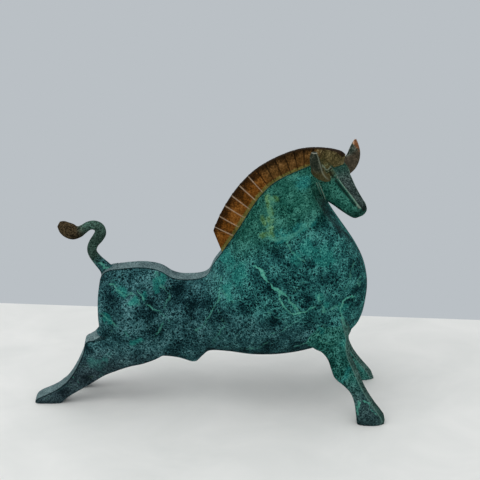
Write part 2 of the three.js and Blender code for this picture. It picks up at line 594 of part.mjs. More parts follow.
// The crest: a tapering plate along the neck and over the poll, grooved into the locks of the mane.
function crestPlate() {
  const rings = [crestSection(0, 0, 0)];
  for (let station = 1; station < crestStations.length; station++) {
    rings.push(crestSection(station - 0.5, 0, 0));
    if (station > CREST_GROOVES) {
      rings.push(crestSection(station, 0, 0));
      continue;
    }
    const [before, after] = [station - 0.5, station + 0.5].map((place) => stationAt(crestStations, place).a);
    const lip = GROOVE_WIDTH / 2 / before.distanceTo(after);
    rings.push(crestSection(station - lip, 0, 0));
    rings.push(crestSection(station, GROOVE_DEPTH, GROOVE_NICK));
    rings.push(crestSection(station + lip, 0, 0));
  }
  const plate = solid(skin(rings.map((section) => outline(section, CREST_SIDE))));
  return largest(plate.subtract(clearOfBody).subtract(clearOfHead).decompose());
}

const pegs = PEG_PLACES.map((share) => {
  const neckLine = seam(bodyStations, THREE.MathUtils.lerp(CREST_STATION, bodyStations.length - 1, share));
  const seat = neckLine.point(0);
  const top = offset(seat, neckLine.across, -half(CREST_EDGE));
  bores.push(bar(top, offset(seat, neckLine.across, PEG_LENGTH + FIT), PEG + 2 * FIT));
  return bar(top, offset(seat, neckLine.across, PEG_LENGTH), PEG);
});
piece("crest", union([crestPlate(), ...pegs]), finishes.brownCrest);

// The tail and its tuft: one round rod bent in the bull's own plane, with a tenon in the rump.
const rod = [
  ...tailLine.map(([x, z, share]) => [x, z, share * half(TAIL_THICKNESS)]),
  ...tuftLine.map(([x, z, share]) => [x, z, share * half(TUFT_THICKNESS)]),
];
function rodAt(place) {
  const [x, z, radius] = rod[0].map((_, k) => splineAt(rod.map((r) => r[k]), place));
  return { point: new THREE.Vector3(ahead(x), 0, up(z)), radius };
}
function tailRing(place) {
  const { point, radius } = rodAt(place);
  const after = rodAt(Math.min(rod.length - 1, place + NUDGE)).point;
  const onwards = after.sub(rodAt(Math.max(0, place - NUDGE)).point);
  const sideways = new THREE.Vector3(0, radius, 0);
  const outwards = onwards.cross(sideways).setLength(radius);
  return Array.from({ length: ROUND_SIDES }, (_, j) => {
    const angle = (2 * Math.PI * j) / ROUND_SIDES;
    return offset(point, sideways, Math.sin(angle)).addScaledVector(outwards, Math.cos(angle));
  });
}
const tailRingCount = (rod.length - 1) * TAIL_STEPS + 1;
const tailRings = Array.from({ length: tailRingCount }, (_, i) => tailRing(i / TAIL_STEPS));
const tailRoot = rodAt(1).point;
const intoRump = rodAt(0).point.sub(tailRoot).normalize();
const tailTenon = (length, diameter) =>
  bar(tailRoot, offset(tailRoot, intoRump, half(TAIL_THICKNESS) + length), diameter);
bores.push(tailTenon(TAIL_TENON_LENGTH + FIT, TAIL_TENON + 2 * FIT));
const tail = solid(skin(tailRings)).subtract(clearOfBody).add(tailTenon(TAIL_TENON_LENGTH, TAIL_TENON));
piece("tail", tail, finishes.oliveTail);

// The hollow body in two halves: the fore half's register lip reaches into the hind half.
const waist = seam(bodyStations, WAIST_STATION);
const past = (distance) => beyond(offset(waist.middle, waist.onwards, distance), waist.onwards);
const between = (from, to) => past(from).subtract(past(to));
const insideLip = cavity(FIT + LIP_THICKNESS);
const lip = cavity(0)
  .intersect(between(GAP / 2, LIP_LENGTH))
  .add(cavity(FIT).intersect(between(-LIP_LENGTH, GAP)))
  .subtract(insideLip);
const headRoom = clearOfHead.intersect(beyond(neck.middle, neck.onwards));
const shell = union([outer, ...stumps]).subtract(cavity(0)).subtract(union([...bores, headRoom]));
let hindBody = shell.subtract(past(-GAP / 2));
let foreBody = shell.intersect(past(GAP / 2)).add(lip);

// Round pins through the hind half's wall and the lip hold the two halves together.
const lipMiddle = offset(waist.middle, waist.onwards, -LIP_LENGTH / 2);
const waistHeight = waist.section.a.distanceTo(waist.section.b);
WAIST_PIN_PLACES.forEach((degrees, i) => {
  const angle = THREE.MathUtils.degToRad(degrees);
  const outwards = waist.sideways
    .clone()
    .multiplyScalar(Math.sin(angle) * waist.section.half)
    .addScaledVector(waist.across, -Math.cos(angle) * half(waistHeight))
    .normalize();
  const end = offset(lipMiddle, outwards, waistHeight);
  const pin = bar(lipMiddle, end, WAIST_PIN).intersect(outer).subtract(insideLip);
  piece(`waist_pin_${i + 1}`, pin, finishes.rawBronze);
  const bore = bar(lipMiddle, end, WAIST_PIN + 2 * FIT);
  hindBody = hindBody.subtract(bore);
  foreBody = foreBody.subtract(bore);
});
piece("hind_body", hindBody, finishes.verdigris);
piece("fore_body", foreBody, finishes.verdigris);

// The origin is under the middle of the whole bull, on the surface that it stands on.
const extent = new THREE.Box3().setFromObject(bull);
const centre = extent.getCenter(new THREE.Vector3());
bull.position.set(-centre.x, -centre.y, -extent.min.z);
const standing = new THREE.Group();
standing.add(bull);

export default standing;
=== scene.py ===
import logging
import math
from collections.abc import Iterable, Sequence
from dataclasses import dataclass, field
from enum import Enum
from typing import ClassVar, NamedTuple

import bmesh
import bpy
import numpy as np
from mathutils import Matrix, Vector


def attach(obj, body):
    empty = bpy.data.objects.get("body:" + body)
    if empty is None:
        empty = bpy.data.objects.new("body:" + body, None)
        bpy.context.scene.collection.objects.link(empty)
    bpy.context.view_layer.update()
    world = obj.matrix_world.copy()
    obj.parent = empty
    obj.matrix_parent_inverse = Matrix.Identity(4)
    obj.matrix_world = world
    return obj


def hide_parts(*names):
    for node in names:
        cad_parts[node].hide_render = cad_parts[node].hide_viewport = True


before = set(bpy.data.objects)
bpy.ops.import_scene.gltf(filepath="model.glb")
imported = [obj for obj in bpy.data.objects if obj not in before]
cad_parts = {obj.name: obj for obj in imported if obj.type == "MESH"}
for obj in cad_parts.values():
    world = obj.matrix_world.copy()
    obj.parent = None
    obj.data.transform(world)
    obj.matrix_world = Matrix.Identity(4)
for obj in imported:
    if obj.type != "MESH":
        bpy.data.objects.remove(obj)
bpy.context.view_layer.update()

LOG = logging.getLogger("bronze_bull")

MM = 0.001
ROOT = "root"
FRAME_SHIFT = 4.65  # mm from the drawing's origin to the frame's, along +X
TURN_PIVOT = 95.0  # mm ahead of the drawing's origin: the upright axis that the head turns about
HEAD_TURN = 33.0  # degrees
NECK_TURN = 18.0
UNMARKED = -9.0  # mm inside a flat strip, for a point that has no strip near it
TOUCHING = 1e-6  # metres
TINY = 1e-9

Point2 = tuple[float, float]
Point3 = tuple[float, float, float]
Colour = tuple[float, float, float]
Ramp = tuple[tuple[float, float, float, float], ...]
Seam = tuple[float, float]
Socket = bpy.types.NodeSocket
Value = Socket | float | tuple


class Slot(Enum):
    """The record's material slots."""

    VERDIGRIS = "verdigris"
    CREST = "brown_crest"
    HORN = "dark_horn"
    TAIL = "olive_tail"


class Side(Enum):
    """The bull's right side is the near one, at negative y."""

    RIGHT = -1
    LEFT = 1


def linear(red: float, green: float, blue: float) -> tuple[float, float, float, float]:
    """Turns a display colour into the one that a shader takes.

    Args:
        red: Its red, from 0 to 255.
        green: Its green.
        blue: Its blue.

    Returns:
        The linear colour, opaque.
    """

    def one(value: float) -> float:
        """One channel."""
        share = value / 255
        return share / 12.92 if share <= 0.04045 else ((share + 0.055) / 1.055) ** 2.4

    return one(red), one(green), one(blue), 1.0


def smooth(value: np.ndarray, low: float, high: float) -> np.ndarray:
    """Eases numbers from 0 at low to 1 at high."""
    share = np.clip((value - low) / (high - low), 0, 1)
    return share * share * (3 - 2 * share)


def spline(table: np.ndarray, places: np.ndarray) -> np.ndarray:
    """Reads a table of rows at places between its rows, on a Catmull-Rom spline.

    Args:
        table: One row of numbers for each station.
        places: Where to read it, from 0 to the last row's number.

    Returns:
        One row for each place.
    """
    last = len(table) - 1
    row = np.clip(np.floor(places).astype(int), 0, last - 1)
    t = (places - row)[:, None]
    here, there = table[row], table[np.clip(row + 1, 0, last)]
    before = (there - table[np.clip(row - 1, 0, last)]) / 2
    after = (table[np.clip(row + 2, 0, last)] - here) / 2
    t2, t3 = t * t, t * t * t
    start = (2 * t3 - 3 * t2 + 1) * here + (t3 - 2 * t2 + t) * before
    return start + (3 * t2 - 2 * t3) * there + (t3 - t2) * after


def fine_places(count: int, steps: int) -> np.ndarray:
    """Places along a row of that many stations, in that many steps from each to the next."""
    return np.linspace(0, count - 1, (count - 1) * steps + 1)


def eased_shares(steps: int) -> np.ndarray:
    """Shares from 0 to 1 that lie closer together at both ends."""
    return (1 - np.cos(np.pi * np.arange(steps + 1) / steps)) / 2


def smooth_line(corners: Sequence[Point2], fineness: int) -> np.ndarray:
    """Rounds a drawn line.

    Args:
        corners: The points that it runs through.
        fineness: How many points it gets for each corner.

    Returns:
        Its points.
    """
    rows = np.array(corners, float)
    return spline(rows, np.linspace(0, len(rows) - 1, fineness * len(rows)))


def turned(points: np.ndarray, degrees: np.ndarray | float) -> np.ndarray:
    """Turns points about the head's upright axis.

    Args:
        points: Points in mm, in the drawing.
        degrees: How far each is turned towards the bull's right.

    Returns:
        The turned points, in the drawing.
    """
    angle = np.radians(degrees)
    ahead = points[..., 0] - TURN_PIVOT
    aside = points[..., 1]
    x = TURN_PIVOT + ahead * np.cos(angle) + aside * np.sin(angle)
    y = aside * np.cos(angle) - ahead * np.sin(angle)
    return np.stack([x, y, points[..., 2]], axis=-1)


def framed(points: np.ndarray) -> np.ndarray:
    """Moves points in mm of the drawing to the frame, in metres."""
    return (points + np.array([FRAME_SHIFT, 0, 0])) * MM


@dataclass(frozen=True)
class Station:
    """One section of a casting in mm: its edges a and b as (x, z), half its width and of its flat edges."""

    a: Point2
    b: Point2
    half: float
    flat_a: float
    flat_b: float
    turn: float = 0.0
    y: float = 0.0
    move: float = 0.0

    def row(self) -> list[float]:
        """Lists its numbers in one row.

        Returns:
            Edges a and b, the half widths, the turn, and how far it lies to the side.
        """
        return [
            self.a[0] + self.move, self.a[1], self.b[0] + self.move, self.b[1],
            self.half, self.flat_a, self.flat_b, self.turn, self.y,
        ]


@dataclass
class Solid:
    """A closed loft: rings of points in the frame's metres, with numbers that are kept at each point."""

    name: str
    rings: np.ndarray
    blend: float = 0.0
    marks: dict[str, np.ndarray] = field(default_factory=dict)

    def faces(self) -> list[tuple[int, ...]]:
        """Lists its faces.

        Returns:
            Quads between the rings, numbered ring by ring, and a fan at each end.
        """
        rings, count = self.rings.shape[:2]
        found = []
        for i in range(rings - 1):
            for j in range(count):
                k = (j + 1) % count
                low, high = i * count, (i + 1) * count
                found.append((low + j, high + j, high + k, low + k))
        for end, middle in ((0, rings * count), (rings - 1, rings * count + 1)):
            for j in range(count):
                pair = (end * count + j, end * count + (j + 1) % count)
                found.append((middle, *(pair if end == 0 else pair[::-1])))
        return found

    def points(self) -> np.ndarray:
        """Every ring's points, then the middle of each end."""
        middles = self.rings[[0, -1]].mean(axis=1)
        return np.concatenate([self.rings.reshape(-1, 3), middles])

    def outwards(self) -> list[tuple[int, ...]]:
        """Turns its faces so that they point out.

        Returns:
            The turned faces.
        """
        points, faces = self.points(), self.faces()
        quads = np.array([f for f in faces if len(f) == 4])
        p, q, r, s = (points[quads[:, k]] for k in range(4))
        volume = np.sum(p * np.cross(q, r)) + np.sum(p * np.cross(r, s))
        return faces if volume > 0 else [face[::-1] for face in faces]

    def made(self, name: str) -> bpy.types.Object:
        """Makes it as a mesh object that keeps its marks.

        Args:
            name: The object's name.

        Returns:
            The object.
        """
        found = mesh_object(name, self.points(), self.outwards())
        for mark, values in self.marks.items():
            ends = values[[0, -1]].mean(axis=1)
            store(found.data, mark, np.concatenate([values.ravel(), ends]))
        return found


def swell(share: np.ndarray, fullness: float = 2.4) -> np.ndarray:
    """Gives a section its creased edge a and its round edge b.

    Args:
        share: Places from edge a to edge b, from 0 to 1.
        fullness: How full it is below edge a, where 2 is a parabola.

    Returns:
        How far it swells at each place, of 1.
    """
    from_middle = np.abs(1 - 2 * share)
    creased = 1 - from_middle**fullness
    rounded = np.sqrt(np.clip(1 - from_middle * from_middle, 0, 1))
    return np.where(share < 0.5, creased, rounded)


def loft(
    name: str,
    stations: Sequence[Station],
    steps: int,
    side: int,
    bevel: float = 0.0,
    floor: bool = False,
    blend: float = 0.0,
) -> Solid:
    """Lofts a list of stations finely.

    Args:
        name: What the loft is called.
        stations: Its sections.
        steps: Rings between two stations.
        side: Steps down one side of a section.
        bevel: How far the outer corner of edge a is set back, in mm.
        floor: Whether it is cut off level with the floor.
        blend: How widely it flows into the body, in metres.

    Returns:
        The loft, with each point's distance in mm inside edge a's flat strip and its place on the stations.
    """
    places = fine_places(len(stations), steps)
    rows = spline(np.array([station.row() for station in stations]), places)
    a, b = rows[:, 0:2], rows[:, 2:4]
    half, flat_a, flat_b, turn, middle = (rows[:, k, None] for k in range(4, 9))
    length = np.linalg.norm(b - a, axis=1, keepdims=True)
    along = (b - a) / length
    share = eased_shares(side)
    width = flat_a * (1 - share) + flat_b * share
    width = width + (half - (flat_a + flat_b) / 2) * swell(share)
    flanks = []
    gaps = []
    for flank in (-1, 1):
        outer = flank == np.sign(stations[0].y)
        reach = length * share + (bevel * (1 - share) if outer else 0)
        x = a[:, 0:1] + along[:, 0:1] * reach
        z = a[:, 1:2] + along[:, 1:2] * reach
        ring = turned(np.stack([x, middle + flank * width, z], axis=-1), turn)
        runs = np.linalg.norm(np.diff(ring, axis=1), axis=2)
        flanks.append(ring)
        gaps.append(-np.concatenate([0 * flat_a, np.cumsum(runs, axis=1)], axis=1))
    (right, left), (right_gap, left_gap) = flanks, gaps
    top = (right[:, :1] + left[:, :1]) / 2
    under = (right[:, -1:] + left[:, -1:]) / 2
    rings = np.concatenate([top, right, under, left[:, ::-1]], axis=1)
    gap = np.concatenate([flat_a, right_gap, right_gap[:, -1:], left_gap[:, ::-1]], axis=1)
    if floor:
        rings[..., 2] = np.maximum(rings[..., 2], 0)
    place = np.repeat(places[:, None], rings.shape[1], axis=1)
    return Solid(name, framed(rings), blend, {"edge": gap, "place": place})


def bent_rod(name: str, line: Sequence[Point3], steps: int, sides: int, blend: float) -> Solid:
    """Makes a round rod that bends in the bull's own plane.

    Args:
        name: What the rod is called.
        line: Its middle line as (x, z, radius) in mm.
        steps: Rings between two points of the line.
        sides: Points round the rod.
        blend: How widely it flows into the body, in metres.

    Returns:
        The rod.
    """
    places = fine_places(len(line), steps)
    rows = spline(np.array(line), places)
    tangent = np.gradient(rows[:, 0:2], axis=0)
    tangent /= np.linalg.norm(tangent, axis=1, keepdims=True)
    angle = 2 * np.pi * np.arange(sides) / sides
    out = rows[:, 2:3] * np.cos(angle)
    x = rows[:, 0:1] - tangent[:, 1:2] * out
    z = rows[:, 1:2] + tangent[:, 0:1] * out
    y = rows[:, 2:3] * np.sin(angle)
    rings = framed(np.stack([x, y, z], axis=-1))
    place = np.repeat(places[:, None], sides, axis=1)
    return Solid(name, rings, blend, {"edge": np.full_like(place, UNMARKED), "place": place})


@dataclass
class Drawing:
    """The bull's sections in mm, as the casting was drawn."""

    strip: float = 10.5
    rump: float = 36.0
    waist: float = 29.0
    chest: float = 54.0
    throat: float = 18.0
    cheek: float = 17.5
    muzzle: float = 8.5
    calf: float = 9.0
    shank: float = 9.0
    hip_spread: float = 36.0
    hind_stance: float = 40.0
    hind_stagger: float = 16.0
    shoulder_spread: float = 56.0
    fore_stance: float = 110.0
    fore_stagger: float = 9.0
    hock_bevel: float = 2.2

    def body(self) -> list[Station]:
        """Draws the barrel and neck.

        Returns:
            Their sections, from the rump forward.
        """
        strip, chest, throat, nape = self.strip, self.chest, self.throat, 0.85 * self.strip
        return [
            Station((-109, 116), (-110, 86), 0.45 * self.rump, 0.5 * strip, 8),
            Station((-106.5, 124.5), (-108, 71), 0.7 * self.rump, 0.85 * strip, 12),
            Station((-99, 131), (-102, 59), 0.85 * self.rump, strip, 16),
            Station((-87, 133), (-90, 52), 0.95 * self.rump, strip, 18),
            Station((-72, 134.5), (-73, 48), self.rump, strip, 18),
            Station((-59, 134), (-58, 46.5), 0.98 * self.rump, strip, 14),
            Station((-49, 131.3), (-46, 45), 0.9 * self.rump, strip, 8),
            Station((-40, 125.8), (-33, 42), 1.03 * self.waist, strip, 4),
            Station((-31, 123.4), (-18, 37.5), self.waist, strip, 2.5),
            Station((-21, 123.4), (-10, 44.5), 1.08 * self.waist, strip, 3.5),
            Station((-11, 124.8), (-2, 51), 0.66 * chest, 0.95 * strip, 5),
            Station((-4, 129), (16, 52), 0.78 * chest, 0.9 * strip, 7),
            Station((1, 139), (40, 50), 0.88 * chest, nape, 8),
            Station((9, 150), (66, 51), 0.95 * chest, nape, 8),
            Station((18, 163), (92, 56), 0.99 * chest, nape, 8),
            Station((27, 177), (118, 65.5), chest, nape, 7),
            Station((36, 192), (139, 82.5), 0.97 * chest, nape, 6),
            Station((46, 206.5), (146.5, 110), 0.9 * chest, nape, 5),
            Station((57, 217.5), (145.5, 134), 0.79 * chest, nape, 4.5),
            Station((70, 225.5), (135.5, 157), 0.65 * chest, nape, 4),
            Station((82, 230.5), (117.5, 178.5), 0.5 * chest, nape, 4, 0.22 * NECK_TURN),
            Station((92, 234.5), (104.5, 193.5), 1.15 * throat, nape, 4, 0.6 * NECK_TURN),
            Station((99, 238), (103, 204), throat, nape, 4.5, NECK_TURN),
        ]

    def head(self) -> list[Station]:
        """Draws the head.

        Returns:
            Its sections, from behind the poll to the nose.
        """
        cheek, muzzle = self.cheek, self.muzzle
        return [
            Station((107.5, 243), (107.5, 206), cheek, 10, 5, 0.85 * HEAD_TURN),
            Station((115, 241), (112, 204.5), 1.03 * cheek, 11, 5.5, HEAD_TURN),
            Station((122, 235.7), (117, 202), cheek, 11.3, 5.5, HEAD_TURN),
            Station((129, 225.8), (122.5, 199.3), 0.86 * cheek, 9.9, 5, HEAD_TURN),
            Station((135, 218), (128.5, 196), 1.45 * muzzle, 7.8, 4.6, HEAD_TURN),
            Station((141, 211.1), (134, 193.3), 1.2 * muzzle, 6.3, 4.2, HEAD_TURN),
            Station((146.5, 204.9), (139, 191.3), 1.04 * muzzle, 5.5, 4, HEAD_TURN),
            Station((149.2, 201.4), (143, 190.8), 0.94 * muzzle, 4.7, 3.8, HEAD_TURN),
            Station((150.2, 198.8), (146.5, 192.2), 0.76 * muzzle, 3.8, 3.4, HEAD_TURN),
        ]

    def hind_leg(self, side: Side) -> list[Station]:
        """Draws a hind leg from the toe up to the hip.

        Args:
            side: Which leg.

        Returns:
            Its sections.
        """
        # Edges a and b, thickness as a share of the calf's, and share of the stagger.
        rows = [
            ((-173.3, 3), (-171.5, -1.5), 0.75, 1), ((-171.2, 6), (-168, -1.5), 1, 1),
            ((-166.5, 9), (-160, -1.5), 1.08, 1), ((-159, 12.3), (-149, -1), 1.06, 1),
            ((-150.3, 17.2), (-140, 6), 1, 1), ((-142, 24), (-130, 12.5), 0.97, 1),
            ((-135.5, 32.7), (-121, 18), 0.97, 1), ((-129.3, 44), (-111, 24.5), 1, 1),
            ((-124.6, 55), (-103, 29.5), 1.06, 1), ((-121.5, 65.5), (-95, 33), 1.16, 1),
            ((-109, 69), (-87, 36.5), 1.35, 0.95), ((-97, 75), (-77, 40.2), 1.55, 0.7),
            ((-85, 84), (-66, 43), 1.65, 0.35), ((-73, 90), (-54, 47), 1.35, 0.1),
            ((-62, 88), (-44, 52), 0.9, 0),
        ]
        stagger = self.hind_stagger if side is Side.LEFT else 0
        stations = []
        for i, (a, b, thick, shift) in enumerate(rows):
            up = i / (len(rows) - 1)
            spread = self.hind_stance * (1 - up) + self.hip_spread * up
            half = thick * self.calf
            stations.append(Station(
                a, b, half, 0.8 * half, 0.62 * half, y=side.value * spread / 2, move=stagger * shift,
            ))
        return stations

    def fore_leg(self, side: Side) -> list[Station]:
        """Draws a fore leg from the shoulder to the hoof.

        Args:
            side: Which leg.

        Returns:
            Its sections.
        """
        # Edges a and b, thickness as a share of the shank's, and shares of the stance and the stagger.
        rows = [
            ((106, 126), (88, 116), 1, -0.25, 0), ((117, 110), (88, 97), 1.45, 0, 0),
            ((125, 95), (91, 81), 1.7, 0.1, 0), ((129.3, 80.5), (96, 69), 1.75, 0.22, 0.05),
            ((129.3, 70.5), (104, 65.5), 1.6, 0.35, 0.15), ((131.5, 61), (110, 59), 1.38, 0.47, 0.3),
            ((136, 52), (113.5, 50), 1.2, 0.58, 0.45), ((140.3, 43), (117, 42), 1.08, 0.68, 0.7),
            ((144.3, 34.5), (125.5, 35.3), 0.98, 0.77, 0.78), ((149, 26.5), (132, 28.5), 0.94, 0.85, 0.78),
            ((155, 18), (135.5, 19.5), 0.96, 0.92, 0.75), ((161, 10.5), (137, 10), 1.05, 0.98, 0.75),
            ((164, 5), (137.8, 4), 1.1, 1, 0.65), ((163, -2), (138.5, -2), 1.08, 1, 0.3),
        ]
        stagger = -self.fore_stagger if side is Side.LEFT else 0
        stations = []
        for a, b, thick, out, shift in rows:
            spread = self.shoulder_spread * (1 - out) + self.fore_stance * out
            half = thick * self.shank
            stations.append(Station(
                a, b, half, 0.42 * half, 0.5 * half, y=side.value * spread / 2, move=stagger * shift,
            ))
        return stations

    def tail(self) -> list[Point3]:
        """Draws the tail.

        Returns:
            Its middle line as (x, z, radius) in mm, from the rump to the tip of the tuft.
        """
        rod = [
            (-99, 125, 1.45), (-105, 132, 1.25), (-110.8, 138.3, 1.06), (-115, 144.2, 0.98),
            (-116, 149.5, 1), (-113.8, 155.2, 1.06), (-110, 160.3, 1.16), (-107.3, 165.3, 1.2),
            (-108.5, 170.3, 1.1), (-113, 172.8, 0.97), (-118.5, 172, 0.92), (-123.5, 168.7, 0.98),
        ]
        tuft = [
            (-128.3, 166, 0.84), (-133.5, 165.7, 1.08), (-139, 168, 1.08), (-144, 171.5, 0.82),
            (-147.3, 173.3, 0.4),
        ]
        thin, full = 4.6, 6.75
        return [(x, z, share * thin) for x, z, share in rod] + [(x, z, share * full) for x, z, share in tuft]


class Cut(Enum):
    """The skin's pieces: each name is a node that its piece stands for."""

    HIND_BODY = "hind_body"
    FORE_BODY = "fore_body"
    HEAD = "head"
    TAIL = "tail"
    RIGHT_HIND = "right_hind_leg"
    LEFT_HIND = "left_hind_leg"
    RIGHT_FORE = "right_fore_leg"
    LEFT_FORE = "left_fore_leg"


@dataclass(frozen=True)
class Saw:
    """A flat cut through the skin: a point on it, its normal towards the piece, and its reach."""

    piece: Cut
    point: Vector
    normal: Vector
    reach: float


def saw_at(piece: Cut, stations: Sequence[Station], seam: Seam, onwards: int) -> Saw:
    """Sets a saw across a row of stations.

    Args:
        piece: The piece that the saw cuts off.
        stations: The sections it runs through.
        seam: Where it cuts, as a place on the stations, and how far from its middle, in metres.
        onwards: 1 if the piece lies towards the last station, and -1 towards the first.

    Returns:
        The saw, in the frame.
    """
    place, reach = seam
    table = np.array([station.row() for station in stations])
    near, row, far = spline(table, np.array([place - 0.05, place, place + 0.05]))

    def middle(numbers: np.ndarray, share: float) -> Vector:
        """The point at that share of the way from edge a to edge b."""
        x = numbers[0] * (1 - share) + numbers[2] * share
        z = numbers[1] * (1 - share) + numbers[3] * share
        return Vector(framed(turned(np.array([x, numbers[8], z]), numbers[7])))

    across = middle(row, 1) - middle(row, 0)
    sideways = Vector(turned(np.array([TURN_PIVOT, 1.0, 0]), row[7]) - np.array([TURN_PIVOT, 0, 0]))
    normal = sideways.cross(across).normalized()
    if normal.dot(middle(far, 0.5) - middle(near, 0.5)) * onwards < 0:
        normal.negate()
    return Saw(piece, middle(row, 0.5), normal, reach)


def mesh_object(name: str, points: np.ndarray, faces: Iterable[Sequence[int]]) -> bpy.types.Object:
    """Makes a mesh object at the origin.

    Args:
        name: The object's name.
        points: Its vertices, in metres of the frame.
        faces: Its faces.

    Returns:
        The object, linked to the scene.
    """
    mesh = bpy.data.meshes.new(name)
    mesh.from_pydata(points.tolist(), [], [tuple(face) for face in faces])
    mesh.validate()
    made = bpy.data.objects.new(name, mesh)
    bpy.context.scene.collection.objects.link(made)
    return made


def settled(obj: bpy.types.Object) -> bpy.types.Object:
    """Turns an object's live modifiers into its plain mesh.

    Args:
        obj: The object.

    Returns:
        The same object.
    """
    graph = bpy.context.evaluated_depsgraph_get()
    result = bpy.data.meshes.new_from_object(obj.evaluated_get(graph))
    old = obj.data
    obj.modifiers.clear()
    obj.data = result
    bpy.data.meshes.remove(old)
    return obj


def vectors(items: bpy.types.bpy_prop_collection, name: str) -> np.ndarray:
    """Reads a vector of each item.

    Args:
        items: A mesh's vertices or their normals.
        name: The vector's name.

    Returns:
        One row for each item.
    """
    found = np.empty(len(items) * 3)
    items.foreach_get(name, found)
    return found.reshape(-1, 3)


def coordinates(mesh: bpy.types.Mesh) -> np.ndarray:
    """A mesh's vertices as an array."""
    return vectors(mesh.vertices, "co")


def vertex_normals(mesh: bpy.types.Mesh) -> np.ndarray:
    """A mesh's vertex normals as an array."""
    return vectors(mesh.vertex_normals, "vector")


def store(mesh: bpy.types.Mesh, name: str, values: np.ndarray) -> None:
    """Keeps one number for each vertex as a named attribute."""
    attribute = mesh.attributes.new(name, "FLOAT", "POINT")
    attribute.data.foreach_set("value", values.astype(np.float32))


def shade_smooth(mesh: bpy.types.Mesh) -> None:
    """Shades every face smoothly."""
    mesh.polygons.foreach_set("use_smooth", [True] * len(mesh.polygons))


def gap_to(points: np.ndarray, line: np.ndarray) -> tuple[np.ndarray, np.ndarray]:
    """Finds how far points lie from a line of straight runs.

    Args:
        points: Points with as many coordinates as the line's.
        line: The line's corners.

    Returns:
        Each point's distance, and how far along the line its nearest place is, from 0 to 1.
    """
    best = np.full(len(points), np.inf)
    where = np.zeros(len(points))
    runs = np.linalg.norm(np.diff(line, axis=0), axis=1)
    ends = np.concatenate([[0], np.cumsum(runs)])
    for i, (start, end) in enumerate(zip(line[:-1], line[1:])):
        run = end - start
        share = np.clip((points - start) @ run / (run @ run), 0, 1)
        gap = np.linalg.norm(points - start - share[:, None] * run, axis=1)
        nearer = gap < best
        best[nearer] = gap[nearer]
        where[nearer] = ((ends[i] + share * runs[i]) / ends[-1])[nearer]
    return best, where


def clouds(points: np.ndarray, spots: Sequence[Point3]) -> np.ndarray:
    """How strongly soft round spots cover points.

    Args:
        points: Points with two coordinates in mm.
        spots: Each spot's two coordinates and its radius in mm.

    Returns:
        The strongest spot's cover at each point, from 0 to 1.
    """
    total = np.zeros(len(points))
    for x, z, radius in spots:
        distance = np.linalg.norm(points - (x, z), axis=1)
        total = np.maximum(total, np.exp(-((distance / radius) ** 2)))
    return total


def nearest_on(points: np.ndarray, target: bpy.types.Object) -> tuple[np.ndarray, np.ndarray, np.ndarray]:
    """Finds each point's nearest place on a loft, by a node tree.

    Args:
        points: The points to start from.
        target: The loft's object, with its edge and place kept on its vertices.

    Returns:
        The nearest places, the surface's normals there, and rows that start with the loft's edge and place.
    """
    tree = bpy.data.node_groups.new("nearest_on", "GeometryNodeTree")
    tree.interface.new_socket("Geometry", in_out="INPUT", socket_type="NodeSocketGeometry")
    tree.interface.new_socket("Geometry", in_out="OUTPUT", socket_type="NodeSocketGeometry")
    g = Graph(tree)
    surface = g.node("GeometryNodeObjectInfo", {"Object": target}).outputs["Geometry"]
    numbers = g.node("ShaderNodeCombineXYZ", {0: g.named("edge"), 1: g.named("place")}).outputs[0]
    fields = {
        "near_point": g.node("GeometryNodeInputPosition").outputs[0],
        "near_normal": g.node("GeometryNodeInputNormal").outputs[0],
        "near_numbers": numbers,
    }
    result = g.node("NodeGroupInput").outputs[0]
    for name, value in fields.items():
        sample = g.node(
            "GeometryNodeSampleNearestSurface", {"Mesh": surface, "Value": value}, data_type="FLOAT_VECTOR",
        )
        result = g.kept(result, name, sample.outputs["Value"], "FLOAT_VECTOR")
    g.node("NodeGroupOutput", {0: result})
    probe = mesh_object("probe", points, [])
    probe.modifiers.new("nearest", "NODES").node_group = tree
    mesh = probe.evaluated_get(bpy.context.evaluated_depsgraph_get()).data
    found = []
    for name in fields:
        values = np.empty(3 * len(points), np.float32)
        mesh.attributes[name].data.foreach_get("vector", values)
        found.append(values.reshape(-1, 3).astype(float))
    bpy.data.objects.remove(probe)
    bpy.data.node_groups.remove(tree)
    return found[0], found[1], found[2]


def open_loops(faces: list[tuple[int, ...]]) -> list[tuple[int, ...]]:
    """Finds the rims of a mesh's openings.

    Args:
        faces: The mesh's faces, as vertices.

    Returns:
        Each rim's vertices, in the order in which a face that closes it runs.
    """
    forward = {}
    for face in faces:
        for start, end in zip(face, face[1:] + face[:1]):
            forward[start, end] = True
    rest = {start: end for start, end in forward if (end, start) not in forward}
    found = []
    while rest:
        first, here = rest.popitem()
        loop = [first]
        while here != first:
            loop.append(here)
            here = rest.pop(here)
        found.append(tuple(reversed(loop)))
    return found


def flooded(
    mesh: bmesh.types.BMesh,
    walls: set[bmesh.types.BMEdge],
    seeds: list[tuple[bmesh.types.BMFace, int]],
    rest: int,
) -> np.ndarray:
    """Labels faces by spreading from seeds up to walls.

    Args:
        mesh: The mesh, with its faces numbered.
        walls: The edges that a label doesn't cross.
        seeds: Faces to start from, each with its label.
        rest: The label of the faces that no seed reaches.

    Returns:
        A label for each face.
    """
    labels = np.full(len(mesh.faces), rest)
    done = set()
    for seed, number in seeds:
        if seed.index in done:
            continue
        front = [seed]
        done.add(seed.index)
        while front:
            face = front.pop()
            labels[face.index] = number
            for edge in face.edges:
                if edge in walls:
                    continue
                for other in edge.link_faces:
                    if other.index not in done:
                        done.add(other.index)
                        front.append(other)
    return labels


